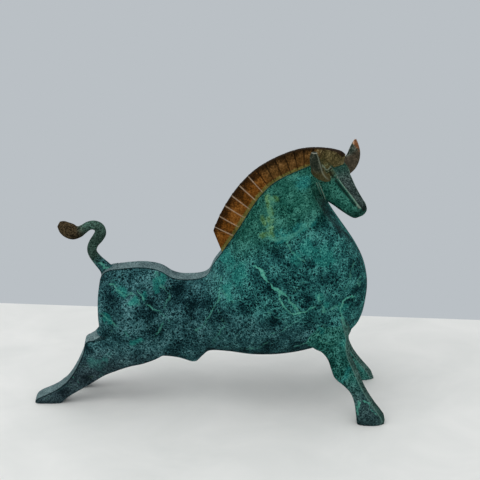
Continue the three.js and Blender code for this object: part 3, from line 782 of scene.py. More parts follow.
@dataclass
class Skin:
    """The bull's cast skin: body, head, legs and tail flow into each other, then part at their seams.

    A seam is a place on a row of stations and how far from its middle the saw cuts, in metres.
    """

    drawing: Drawing = field(default_factory=Drawing)
    voxel: float = 1.05 * MM
    leg_blend: float = 15 * MM
    tail_blend: float = 6 * MM
    least_blend: float = 0.02
    passes: int = 3
    longest_move: int = 4
    steps: int = 12
    trunk_side: int = 40
    leg_side: int = 24
    tail_sides: int = 32
    waist_seam: Seam = (9, 0.09)
    neck_seam: Seam = (22, 0.032)
    right_hip_seam: Seam = (9.3, 0.032)
    left_hip_seam: Seam = (8.5, 0.032)
    shoulder_seam: Seam = (5.6, 0.024)
    tail_seam: Seam = (0.6, 0.012)

    def solids(self) -> list[Solid]:
        """Lofts what the skin is joined from.

        Returns:
            The body with the head, then the four legs and the tail.
        """
        draw, blend = self.drawing, self.leg_blend
        made = [loft("trunk", [*draw.body(), *draw.head()], self.steps, self.trunk_side)]
        for side in Side:
            for name, stations, bevel in (
                ("hind", draw.hind_leg(side), draw.hock_bevel),
                ("fore", draw.fore_leg(side), 0),
            ):
                whole = f"{name}_{side.name}"
                made.append(loft(whole, stations, self.steps, self.leg_side, bevel, True, blend))
        made.append(bent_rod("tail", draw.tail(), self.steps, self.tail_sides, self.tail_blend))
        return made

    def saws(self) -> list[Saw]:
        """Sets the saws, so that each piece ends where its casting does.

        Returns:
            One saw for each seam.
        """
        draw = self.drawing
        root, after = (Vector(framed(np.array([x, 0, z]))) for x, z, _ in draw.tail()[1:3])
        share, reach = self.tail_seam
        found = [
            saw_at(Cut.HIND_BODY, draw.body(), self.waist_seam, -1),
            saw_at(Cut.HEAD, draw.body(), self.neck_seam, 1),
            Saw(Cut.TAIL, root.lerp(after, share), (after - root).normalized(), reach),
        ]
        for side, hind, fore, hip_seam in (
            (Side.RIGHT, Cut.RIGHT_HIND, Cut.RIGHT_FORE, self.right_hip_seam),
            (Side.LEFT, Cut.LEFT_HIND, Cut.LEFT_FORE, self.left_hip_seam),
        ):
            found.append(saw_at(hind, draw.hind_leg(side), hip_seam, -1))
            found.append(saw_at(fore, draw.fore_leg(side), self.shoulder_seam, 1))
        return found

    def fused(self) -> tuple[bpy.types.Object, dict[str, np.ndarray]]:
        """Joins the lofts into one skin whose vertices lie on their smooth union.

        Returns:
            The skin, and for each vertex which loft it lies on, and its edge and place there.
        """
        solids = self.solids()
        points, faces = [], []
        for one in solids:
            start = sum(len(p) for p in points)
            points.append(one.points())
            faces += [tuple(start + k for k in face) for face in one.outwards()]
        skin = mesh_object("skin", np.concatenate(points), faces)
        remesh = skin.modifiers.new("remesh", "REMESH")
        remesh.mode = "VOXEL"
        remesh.voxel_size = self.voxel
        settled(skin)
        LOG.info("skin remeshed: %d vertices", len(skin.data.vertices))
        targets = [one.made(f"{one.name}_loft") for one in solids]
        places = coordinates(skin.data)
        for _ in range(self.passes):
            places, found = self.drawn_on(places, solids, targets)
        places[:, 2] = np.maximum(places[:, 2], 0)
        skin.data.vertices.foreach_set("co", places.ravel())
        skin.data.update()
        for target in targets:
            bpy.data.objects.remove(target)
        return skin, found

    def drawn_on(
        self, places: np.ndarray, solids: list[Solid], targets: list[bpy.types.Object],
    ) -> tuple[np.ndarray, dict[str, np.ndarray]]:
        """Moves vertices on to the smooth union of the solids.

        Args:
            places: The vertices.
            solids: The trunk first, then what flows into it.
            targets: Their objects.

        Returns:
            The moved vertices, and for each vertex the nearest solid's number, and its edge and place there.
        """
        depth = np.full(len(places), 1.0)
        normal = np.zeros((len(places), 3))
        found = {"owner": np.zeros(len(places), int), "edge": depth.copy(), "place": depth.copy()}
        for number, (solid, target) in enumerate(zip(solids, targets)):
            reach = 2 * solid.blend if number else 1.0
            low, high = solid.points().min(axis=0) - reach, solid.points().max(axis=0) + reach
            inside = np.flatnonzero(np.all((places > low) & (places < high), axis=1))
            point, out, numbers = nearest_on(places[inside], target)
            before, facing = depth[inside], normal[inside]
            away = places[inside] - point
            gap = np.linalg.norm(away, axis=1)
            signed = np.where(np.sum(away * out, axis=1) >= 0, gap, -gap)
            clear = gap > TOUCHING
            out[clear] = away[clear] / signed[clear, None]
            likeness = np.sum(out * facing, axis=1)
            width = np.maximum(solid.blend * np.clip(1 - likeness, self.least_blend, 1), TINY)
            overlap = np.maximum(width - np.abs(before - signed), 0) / width
            nearer = signed < before
            weight = np.where(nearer, 1 - overlap / 2, overlap / 2)[:, None]
            depth[inside] = np.minimum(before, signed) - overlap * overlap * width / 4
            mixed = facing * (1 - weight) + out * weight
            normal[inside] = mixed / np.maximum(np.linalg.norm(mixed, axis=1), TINY)[:, None]
            taken = inside[nearer]
            found["owner"][taken] = number
            found["edge"][taken] = numbers[nearer, 0]
            found["place"][taken] = numbers[nearer, 1]
        limit = self.longest_move * self.voxel
        return places - np.clip(depth, -limit, limit)[:, None] * normal, found

    def pieces(self) -> dict[Cut, bpy.types.Object]:
        """Makes the skin, paints its marks on it and parts it at the seams.

        Returns:
            Each piece under its name.
        """
        skin, found = self.fused()
        Marks(skin.data, found, self.solids()).paint()
        labels = self.sawn(skin.data)
        loops = [tuple(polygon.vertices) for polygon in skin.data.polygons]
        made = {cut: self.piece(skin.data, loops, labels == number, cut) for number, cut in enumerate(Cut)}
        bpy.data.objects.remove(skin)
        return made

    def crossed(self, skin: bpy.types.Mesh, saws: Sequence[Saw]) -> list[np.ndarray]:
        """Finds the faces that saws run through.

        Args:
            skin: The whole skin.
            saws: The saws.

        Returns:
            For each saw the numbers of its faces.
        """
        places = coordinates(skin)
        corners = np.empty(len(skin.loops), int)
        skin.loops.foreach_get("vertex_index", corners)
        starts = np.empty(len(skin.polygons), int)
        skin.polygons.foreach_get("loop_start", starts)
        found = []
        for saw in saws:
            away = places - np.array(saw.point)
            height = (away @ np.array(saw.normal))[corners]
            within = (np.linalg.norm(away, axis=1) < saw.reach)[corners]
            low, high = np.minimum.reduceat(height, starts), np.maximum.reduceat(height, starts)
            near = (low < self.voxel) & (high > -self.voxel) & np.logical_and.reduceat(within, starts)
            found.append(np.flatnonzero(near))
        return found

    def sawn(self, skin: bpy.types.Mesh) -> np.ndarray:
        """Cuts the skin along every saw.

        Args:
            skin: The whole skin, which is cut.

        Returns:
            For each face, the number of the piece that it belongs to.
        """
        order = list(Cut)
        saws = self.saws()
        whole = bmesh.new()
        whole.from_mesh(skin)
        whole.faces.ensure_lookup_table()
        crossed = [[whole.faces[i] for i in numbers] for numbers in self.crossed(skin, saws)]
        cuts = set()
        seeds = []
        for saw, faces in zip(saws, crossed):
            near = [face for face in faces if face.is_valid]
            parts = {*near, *(e for f in near for e in f.edges), *(v for f in near for v in f.verts)}
            result = bmesh.ops.bisect_plane(
                whole, geom=list(parts), dist=1e-8, plane_co=saw.point, plane_no=saw.normal,
            )
            edges = [e for e in result["geom_cut"] if isinstance(e, bmesh.types.BMEdge)]
            cuts.update(edges)
            nearest = min(edges, key=lambda e: (e.verts[0].co - saw.point).length)
            for face in nearest.link_faces:
                if (face.calc_center_median() - saw.point).dot(saw.normal) > 0:
                    seeds.append((face, order.index(saw.piece)))
        whole.faces.index_update()
        labels = flooded(whole, cuts, seeds, order.index(Cut.FORE_BODY))
        whole.to_mesh(skin)
        whole.free()
        return labels

    def piece(
        self, whole: bpy.types.Mesh, loops: list[tuple[int, ...]], chosen: np.ndarray, cut: Cut,
    ) -> bpy.types.Object:
        """Takes one piece out of the sawn skin and closes its cut faces.

        Args:
            whole: The sawn skin's mesh.
            loops: The vertices of each of its faces.
            chosen: Which of its faces the piece has.
            cut: The piece.

        Returns:
            The piece's object.
        """
        faces = [loops[i] for i in np.flatnonzero(chosen)]
        used = np.unique(np.concatenate([np.array(face) for face in faces]))
        renumber = np.full(len(whole.vertices), -1)
        renumber[used] = np.arange(len(used))
        faces = [tuple(int(renumber[k]) for k in face) for face in faces]
        caps = open_loops(faces)
        made = mesh_object(f"{cut.value}_skin", coordinates(whole)[used], [*faces, *caps])
        mesh = made.data
        for attribute in whole.attributes:
            if attribute.data_type == "FLOAT" and attribute.domain == "POINT":
                values = np.empty(len(whole.vertices), np.float32)
                attribute.data.foreach_get("value", values)
                store(mesh, attribute.name, values[used])
        shade_smooth(mesh)
        for polygon in list(mesh.polygons)[len(faces):]:
            polygon.use_smooth = False
        return made


# Veins of the near flank as (x, z) in mm of the frame, with their strength and half width.
VEINS = [
    (((68, 129), (70, 120), (74, 112), (79, 107), (85, 105), (92, 107), (101, 112)), 1.3, 1.1),
    (((45, 147), (51, 146), (56, 139), (62, 132), (68, 128), (75, 123), (81, 115), (87, 108)), 1.25, 1.3),
    (((59, 107), (67, 101), (74, 97), (79, 93)), 0.5, 0.7),
    (((62, 85), (71, 86), (79, 93), (87, 98), (92, 102)), 0.5, 0.7),
    (((139, 117), (131, 116), (127, 112), (126, 105), (128, 96), (132, 88), (134, 80), (135, 67)), 1.1, 1.1),
    (((105, 125), (106, 117), (109, 111), (111, 105), (119, 109), (127, 111)), 0.8, 1.0),
    (((145, 135), (143, 133), (142, 130), (143, 125), (145, 128)), 0.7, 0.8),
    (((137, 148), (135, 141), (134, 134), (131, 127), (127, 125)), 0.5, 0.8),
    (((76, 174), (77, 168), (81, 163), (86, 158), (91, 156)), 0.7, 1.0),
    (((58, 174), (66, 173), (74, 175), (83, 179), (91, 186), (98, 190), (101, 197)), 0.5, 2.4),
    (((61, 206), (59, 196), (61, 188), (58, 180), (58, 174)), 0.35, 2.6),
    (((83, 67), (93, 72), (99, 80), (106, 83), (108, 89), (112, 92)), 0.6, 0.7),
    (((37, 64), (49, 66), (60, 76)), 0.4, 0.7),
    (((106, 83), (107, 78), (113, 75), (120, 76)), 0.6, 0.7),
    (((-91, 121), (-86, 119), (-80, 114), (-77, 113), (-70, 114), (-64, 111), (-62, 105)), 0.6, 1.0),
    (((-64, 117), (-59, 111), (-53, 104), (-45, 98), (-40, 94), (-34, 87)), 0.8, 0.7),
    (((-50, 132), (-46, 128), (-44, 122), (-40, 118), (-35, 111), (-40, 101)), 0.5, 0.9),
    (((-100, 95), (-96, 92), (-89, 87), (-82, 82), (-74, 75), (-71, 71)), 0.65, 0.7),
    (((-40, 87), (-43, 81), (-48, 75)), 0.55, 0.9),
    (((15, 133), (14, 123), (12, 113), (7, 103), (2, 94), (-3, 84), (-10, 80)), 0.6, 0.8),
    (((18, 90), (14, 83), (10, 76), (6, 66)), 0.5, 0.7),
    (((16, 122), (21, 118), (27, 114)), 0.6, 0.9),
]

# Clouds on the near flank: (x, z, radius) in mm of the frame.
TURQUOISE = [
    (109, 158, 14), (96, 166, 9), (31, 136, 11), (106, 122, 5), (130, 106, 6), (89, 220, 8), (19, 148, 7),
    (98, 189, 5), (23, 119, 6), (85, 158, 5), (-82, 116, 6), (-45, 124, 6), (-44, 117, 4), (-96, 92, 5),
    (-58, 111, 4), (-69, 109, 5), (20, 123, 7), (-107, 41, 6), (-67, 70, 5), (111, 114, 5), (128, 104, 5),
    (109, 85, 4), (133, 74, 5), (58, 173, 4), (66, 174, 4), (74, 177, 5), (82, 182, 4), (89, 186, 5),
    (136.5, 55, 2.5), (134, 51, 3), (131, 47, 3), (129.5, 43, 3), (143.5, 17, 4), (143, 10, 3), (163, 12, 3),
    (-106, 42, 7), (-101, 35, 6), (-98, 48, 6), (-136, 21, 4), (-140, 17, 4), (-98, 94, 3.5), (-94, 93, 4),
    (-90, 90, 3.5), (-97, 88, 3.5),
]
# SHADOWED: mostly darker patches of the patina; its spots on the chest's front edge and the hind leg's lower
# edge are painted shade.
SHADOWED = [
    (76, 195, 9), (65, 163, 9), (86, 137, 17), (56, 127, 11), (140, 143, 9), (39, 111, 11), (116, 136, 8),
    (-90, 106, 9), (-57, 98, 11), (-94, 76, 8), (2, 107, 13), (-14, 104, 11), (-30, 60, 10), (-46, 80, 9),
    (-28, 115, 9), (-114, 58, 6), (92, 117, 10), (99, 94, 7), (64, 97, 8), (60, 68, 10), (85, 72, 8),
    (38, 62, 8), (11, 99, 9), (137, 113, 6), (143, 126, 7), (145, 33, 5), (113, 69, 4), (118, 58, 4),
    (123, 47, 4), (105, 190, 8), (-117, 27, 7), (-138, 13, 5), (-36, 53, 8), (-100, 125, 5), (121, 178, 8),
]
# LIT: painted light, which lightens the thigh and the hind leg.
LIT = [(-80, 62, 13), (-96, 56, 8), (-62, 66, 12), (-104, 40, 9)]
GOLDEN = [(61, 204, 4), (60, 197, 4.5), (60, 189, 4.5), (59, 181, 4.5), (57, 174, 4), (52, 188, 3)]

# Ridges that catch the light on the near legs, as (x, z) in mm of the frame, strength and half width.
RIDGES = [
    (((129, 78), (132, 69), (136, 60), (139, 52), (142, 45), (145, 38), (148, 31)), 0.75, 0.6),
    (((151, 24), (155, 17), (161, 10)), 0.7, 0.6),
    (((144.5, 20), (147, 22.5), (151, 22.7), (154.6, 21), (157.4, 17)), 0.9, 0.55),
    (((144, 23), (143.5, 17), (143, 11)), 0.8, 1.6),
    (((-129.5, 28.2), (-126, 25.4), (-122.5, 22)), 0.8, 0.45),
    (((161, 15), (164, 11), (165, 8)), 0.6, 0.9),
    (((-103, 137), (-99, 133), (-94, 131)), 0.8, 1.6),
]


def wavered(flat: np.ndarray) -> np.ndarray:
    """Pushes places about finely, by up to 1 mm, so that drawn lines waver.

    Args:
        flat: The places as (x, z) in mm.

    Returns:
        The pushed places.
    """
    x, z = flat.T
    push_x = 0.6 * np.sin(z * 0.55 + 1.3 * np.sin(x * 0.35)) + 0.35 * np.sin(z * 1.7 + x)
    push_z = 0.6 * np.sin(x * 0.5 + 1.7 * np.sin(z * 0.4)) + 0.35 * np.sin(x * 1.5 - z)
    return np.stack([x + push_x, z + push_z], axis=1)


def drifted(flat: np.ndarray) -> np.ndarray:
    """Pushes places about broadly, by up to 3.5 mm, so that drawn spots aren't round.

    Args:
        flat: The places as (x, z) in mm.

    Returns:
        The pushed places.
    """
    x, z = flat.T
    push_x = 2.2 * np.sin(z / 6.1 + 2 * np.sin(x / 9.3)) + 1.3 * np.sin(z / 2.7 + x / 4.1)
    push_z = 2.2 * np.sin(x / 5.7 + 2 * np.sin(z / 8.1)) + 1.3 * np.sin(x / 2.9 - z / 3.7)
    return np.stack([x + push_x, z + push_z], axis=1)


@dataclass
class Marks:
    """The patina's drawing, kept on the skin's vertices as named numbers that the finish reads."""

    mesh: bpy.types.Mesh
    found: dict[str, np.ndarray]
    solids: list[Solid]
    haze_reach: float = 4.5
    line_margin: float = 12.0
    widest_gap: float = 6.0
    leg_top: float = 90.0
    last_neck_place: float = 22.4
    belly_top: float = 45.0
    off_tail: float = -3.0

    def paint(self) -> None:
        """Stores every mark on the skin: the far side's drawing is the near side's, pushed about."""
        points = coordinates(self.mesh) / MM
        normals = vertex_normals(self.mesh)
        near = points[:, 1] < 0
        flat = points[:, [0, 2]]
        flat[~near, 0] += 9 * np.sin(points[~near, 2] / 17 + 1)
        flat[~near, 1] += 6 * np.sin(points[~near, 0] / 23)
        spots = drifted(flat)
        sideways = np.abs(normals[:, 1])
        # The veins and the RIDGES, whose pale lines are painted highlights, are drawn together.
        gap, power, haze = self.lines(wavered(flat), [*VEINS, *RIDGES])
        store(self.mesh, "vein_gap", gap)
        store(self.mesh, "vein_power", power * smooth(sideways, 0.05, 0.25))
        store(self.mesh, "turquoise", np.maximum(clouds(spots, TURQUOISE), 0.3 * haze))
        # Painted shade: darker where the skin faces down, above the belly line, and where it faces forward,
        # as on the chest's front.
        under = 0.75 * smooth(-normals[:, 2], 0.45, 0.85) * (points[:, 2] > self.belly_top)
        ahead = 0.45 * smooth(sideways, 0.42, 0.15) * smooth(normals[:, 0], 0.3, 0.7)
        # The shadowed mark joins darker patches of the patina, the dark rims beside the lines, and this
        # painted shade.
        shadowed = np.maximum(clouds(spots, SHADOWED), 0.55 * haze)
        store(self.mesh, "shadowed", np.maximum(shadowed, np.maximum(under, ahead)))
        store(self.mesh, "golden", clouds(spots, GOLDEN))
        self.regions(points, near, clouds(spots, LIT))

    def lines(
        self, points: np.ndarray, drawn: Sequence[tuple[Sequence[Point2], float, float]],
    ) -> tuple[np.ndarray, np.ndarray, np.ndarray]:
        """Lays drawn lines over the skin.

        Args:
            points: Each vertex's place in the drawing, in mm.
            drawn: The lines, each with its strength and half width.

        Returns:
            For each vertex its distance from the nearest line in widths, that line's strength, and the haze
            that spreads from it.
        """
        gap = np.full(len(points), self.widest_gap)
        power = np.zeros(len(points))
        haze = np.zeros(len(points))
        for line, strength, half in drawn:
            fine = smooth_line(line, 4)
            low, high = fine.min(axis=0) - self.line_margin, fine.max(axis=0) + self.line_margin
            inside = np.flatnonzero(np.all((points > low) & (points < high), axis=1))
            distance, where = gap_to(points[inside], fine)
            width = 0.6 * half * (0.6 + 0.7 * np.sin(where * 9 + strength * 40) ** 2)
            ratio = distance / width
            nearer = ratio < gap[inside]
            gap[inside[nearer]] = ratio[nearer]
            power[inside[nearer]] = (strength * (1 - 0.35 * where))[nearer]
            haze[inside] = np.maximum(haze[inside], strength * np.exp(-distance / self.haze_reach))
        return gap, power, haze

    def owned_by(self, start: str) -> np.ndarray:
        """Which vertices lie on the lofts whose names start so."""
        numbers = [number for number, solid in enumerate(self.solids) if solid.name.startswith(start)]
        return np.isin(self.found["owner"], numbers)

    def regions(self, points: np.ndarray, near: np.ndarray, lit: np.ndarray) -> None:
        """Stores which part of the casting each vertex belongs to, and where it lies on it.

        Args:
            points: The vertices in mm.
            near: Which of them are on the near side.
            lit: How strongly the spots that catch the light cover each.
        """
        edge, place = self.found["edge"], self.found["place"]
        trunk, hind, fore, tail = (self.owned_by(name) for name in ("trunk", "hind", "fore", "tail"))
        head = trunk & (place > self.last_neck_place)
        strip = (trunk & ~head) | hind
        for name, chosen in (("strip_gap", strip), ("bridge_gap", head), ("front_gap", fore)):
            store(self.mesh, name, np.where(chosen, np.clip(edge, UNMARKED, -UNMARKED), UNMARKED))
        store(self.mesh, "tail_place", np.where(tail, place, self.off_tail))
        x, z = points[:, 0], points[:, 2]
        shank = fore & (z < self.leg_top)
        hind_part = 1 - smooth(x + 0.25 * z, 10, 60)
        belly = 0.8 * smooth(z + 0.2 * x, 122, 98) * smooth(x, 128, 112) * ~fore
        store(self.mesh, "hind_part", np.maximum(hind_part, belly))
        neck = smooth(z + 0.5 * (60 - x), 150, 188) * smooth(x, 8, 36)
        store(self.mesh, "greenish", np.where(head, 1, np.where(shank, 0.6, neck)))
        feet = smooth(z, 68, 26) * hind + np.where(near, 0.85, 0.1) * smooth(z, 48, 20) * fore
        store(self.mesh, "ashen", feet)
        # Painted light on the far fore shank, joined with the lit spots.
        store(self.mesh, "lit", np.maximum(lit, 0.9 * (shank & ~near)))


def goes_with(name: str, cut: Cut) -> bool:
    """Tells whether a hidden pin or dowel is inside a piece of the skin.

    Args:
        name: The pin's or dowel's node.
        cut: The piece.

    Returns:
        Whether it is.
    """
    if name.startswith("waist"):
        return cut is Cut.HIND_BODY
    if name == "neck_pin":
        return cut is Cut.HEAD
    return name.startswith(cut.value)


class Fray(NamedTuple):
    """How the edge of a mark breaks up: the roughness's weight, and where the cover starts and is full."""

    weight: float
    start: float
    full: float


@dataclass
class Graph:
    """Adds nodes to a tree and links them, so that a finish reads as a list of steps."""

    tree: bpy.types.NodeTree

    def feed(self, socket: Socket, value: Value) -> None:
        """Feeds a socket.

        Args:
            socket: The socket.
            value: Another node's output, or what the socket is set to.
        """
        if isinstance(value, bpy.types.NodeSocket):
            self.tree.links.new(value, socket)
        else:
            socket.default_value = value

    def node(self, kind: str, inputs: dict | None = None, **settings: object) -> bpy.types.Node:
        """Adds a node.

        Args:
            kind: Its type.
            inputs: Values or other nodes' outputs by socket name or number.
            **settings: Its own properties.

        Returns:
            The node.
        """
        made = self.tree.nodes.new(kind)
        for key, value in settings.items():
            setattr(made, key, value)
        for key, value in (inputs or {}).items():
            self.feed(made.inputs[key], value)
        return made

    def math(self, operation: str, first: Value, second: Value = 0.0) -> Socket:
        """A sum, a difference or the like of two numbers."""
        return self.node("ShaderNodeMath", {0: first, 1: second}, operation=operation).outputs[0]

    def product(self, first: Value, *others: Value) -> Socket:
        """A product of numbers."""
        for value in others:
            first = self.math("MULTIPLY", first, value)
        return first

    def total(self, *parts: tuple[Value, float]) -> Socket:
        """A sum of numbers.

        Args:
            *parts: Each number with its weight.

        Returns:
            The sum.
        """
        running: Value = 0.0
        for value, weight in parts:
            made = self.node("ShaderNodeMath", {0: value, 1: weight, 2: running}, operation="MULTIPLY_ADD")
            running = made.outputs[0]
        return running

    def eased(self, value: Value, low: Value, high: Value) -> Socket:
        """Eases a number from 0 at low to 1 at high."""
        ends = {"Value": value, "From Min": low, "From Max": high}
        return self.node("ShaderNodeMapRange", ends, interpolation_type="SMOOTHSTEP").outputs["Result"]

    def close_to(self, value: Value, middle: float, far: float, near: float) -> Socket:
        """Eases from 1, where a number is as near as that to a middle, to 0 where it is as far as that."""
        return self.eased(self.math("ABSOLUTE", self.math("SUBTRACT", value, middle)), far, near)

    def frayed(self, name: str, rough: Socket, edge: Fray) -> Socket:
        """The cover of a mark whose edge breaks up."""
        return self.eased(self.total((self.mark(name), 1), (rough, edge.weight)), edge.start, edge.full)

    def over(self, below: Value, above: Value, cover: Value, share: float = 1.0) -> Socket:
        """Lays a colour over another.

        Args:
            below: The colour below.
            above: The colour above.
            cover: How far it covers, from 0 to 1.
            share: How much of that cover is used.

        Returns:
            The mixed colour.
        """
        if share != 1:
            cover = self.product(cover, share)
        return self.node("ShaderNodeMix", {0: cover, 6: below, 7: above}, data_type="RGBA").outputs[2]

    def ramp(self, value: Value, stops: Ramp) -> Socket:
        """Turns a number into a colour.

        Args:
            value: The number.
            stops: Numbers from 0 to 1, each with its display colour's red, green and blue.

        Returns:
            The colour.
        """
        made = self.node("ShaderNodeValToRGB", {0: value})
        elements = made.color_ramp.elements
        for element, (position, *colour) in zip(elements, (stops[0], stops[-1])):
            element.position = position
            element.color = linear(*colour)
        for position, *colour in stops[1:-1]:
            elements.new(position).color = linear(*colour)
        return made.outputs["Color"]

    def named(self, name: str) -> Socket:
        """A number kept on the vertices, in a node tree for shapes."""
        made = self.node("GeometryNodeInputNamedAttribute", {"Name": name}, data_type="FLOAT")
        return made.outputs["Attribute"]

    def kept(self, geometry: Socket, name: str, value: Value, kind: str = "FLOAT") -> Socket:
        """The geometry with a value of that data type kept on its vertices."""
        given = {"Geometry": geometry, "Name": name, "Value": value}
        return self.node("GeometryNodeStoreNamedAttribute", given, data_type=kind, domain="POINT").outputs[0]

    def mark(self, name: str) -> Socket:
        """A number kept on the vertices."""
        return self.node("ShaderNodeAttribute", attribute_name=name).outputs["Fac"]

    def place(self) -> Socket:
        """Object coordinates."""
        return self.node("ShaderNodeTexCoord").outputs["Object"]

    def noise(
        self, where: Value, size: float, detail: float = 2, roughness: float = 0.5, distortion: float = 0,
    ) -> Socket:
        """Cloudy noise from 0 to 1 with features of that size in mm."""
        given = {"Vector": where, "Scale": 1 / (size * MM), "Detail": detail, "Roughness": roughness}
        return self.node("ShaderNodeTexNoise", {**given, "Distortion": distortion}).outputs["Fac"]

    def cells(self, where: Value, size: float) -> Socket:
        """How far a point is from the edges of irregular cells of that size in mm, as a share of a cell."""
        given = {"Vector": where, "Scale": 1 / (size * MM)}
        return self.node("ShaderNodeTexVoronoi", given, feature="DISTANCE_TO_EDGE").outputs["Distance"]

    def bent(self, where: Socket, size: float, reach: float) -> Socket:
        """Pushes coordinates about by noise.

        Args:
            where: The coordinates.
            size: The size of the noise's features, in mm.
            reach: How far it pushes, in mm.

        Returns:
            The pushed coordinates.
        """
        noise = self.node("ShaderNodeTexNoise", {"Vector": where, "Scale": 1 / (size * MM), "Detail": 2})
        middle = {0: noise.outputs["Color"], 1: (0.5, 0.5, 0.5)}
        shifted = self.node("ShaderNodeVectorMath", middle, operation="SUBTRACT").outputs[0]
        scaled = self.node("ShaderNodeVectorMath", {0: shifted, "Scale": 2 * reach * MM}, operation="SCALE")
        return self.node("ShaderNodeVectorMath", {0: where, 1: scaled.outputs[0]}).outputs[0]


@dataclass(frozen=True)
class Finish:
    """A material of the scene: a matt surface whose colour follows a rule of its own."""

    name: str = "finish"
    roughness: float = 0.5
    metallic: float = 0.1
    specular: float = 0.0

    def colour(self, g: Graph) -> Socket:
        """The colour at each point."""
        raise NotImplementedError

    def dress(self, g: Graph, surface: bpy.types.Node) -> None:
        """Feeds the shader's sockets that change over the surface."""
        g.feed(surface.inputs["Base Color"], self.colour(g))

    def material(self) -> bpy.types.Material:
        """Builds the material.

        Returns:
            The material.
        """
        made = bpy.data.materials.new(self.name)
        made.use_nodes = True
        surface = made.node_tree.nodes["Principled BSDF"]
        surface.inputs["Roughness"].default_value = self.roughness
        surface.inputs["Metallic"].default_value = self.metallic
        surface.inputs["Specular IOR Level"].default_value = self.specular
        self.dress(Graph(made.node_tree), surface)
        return made


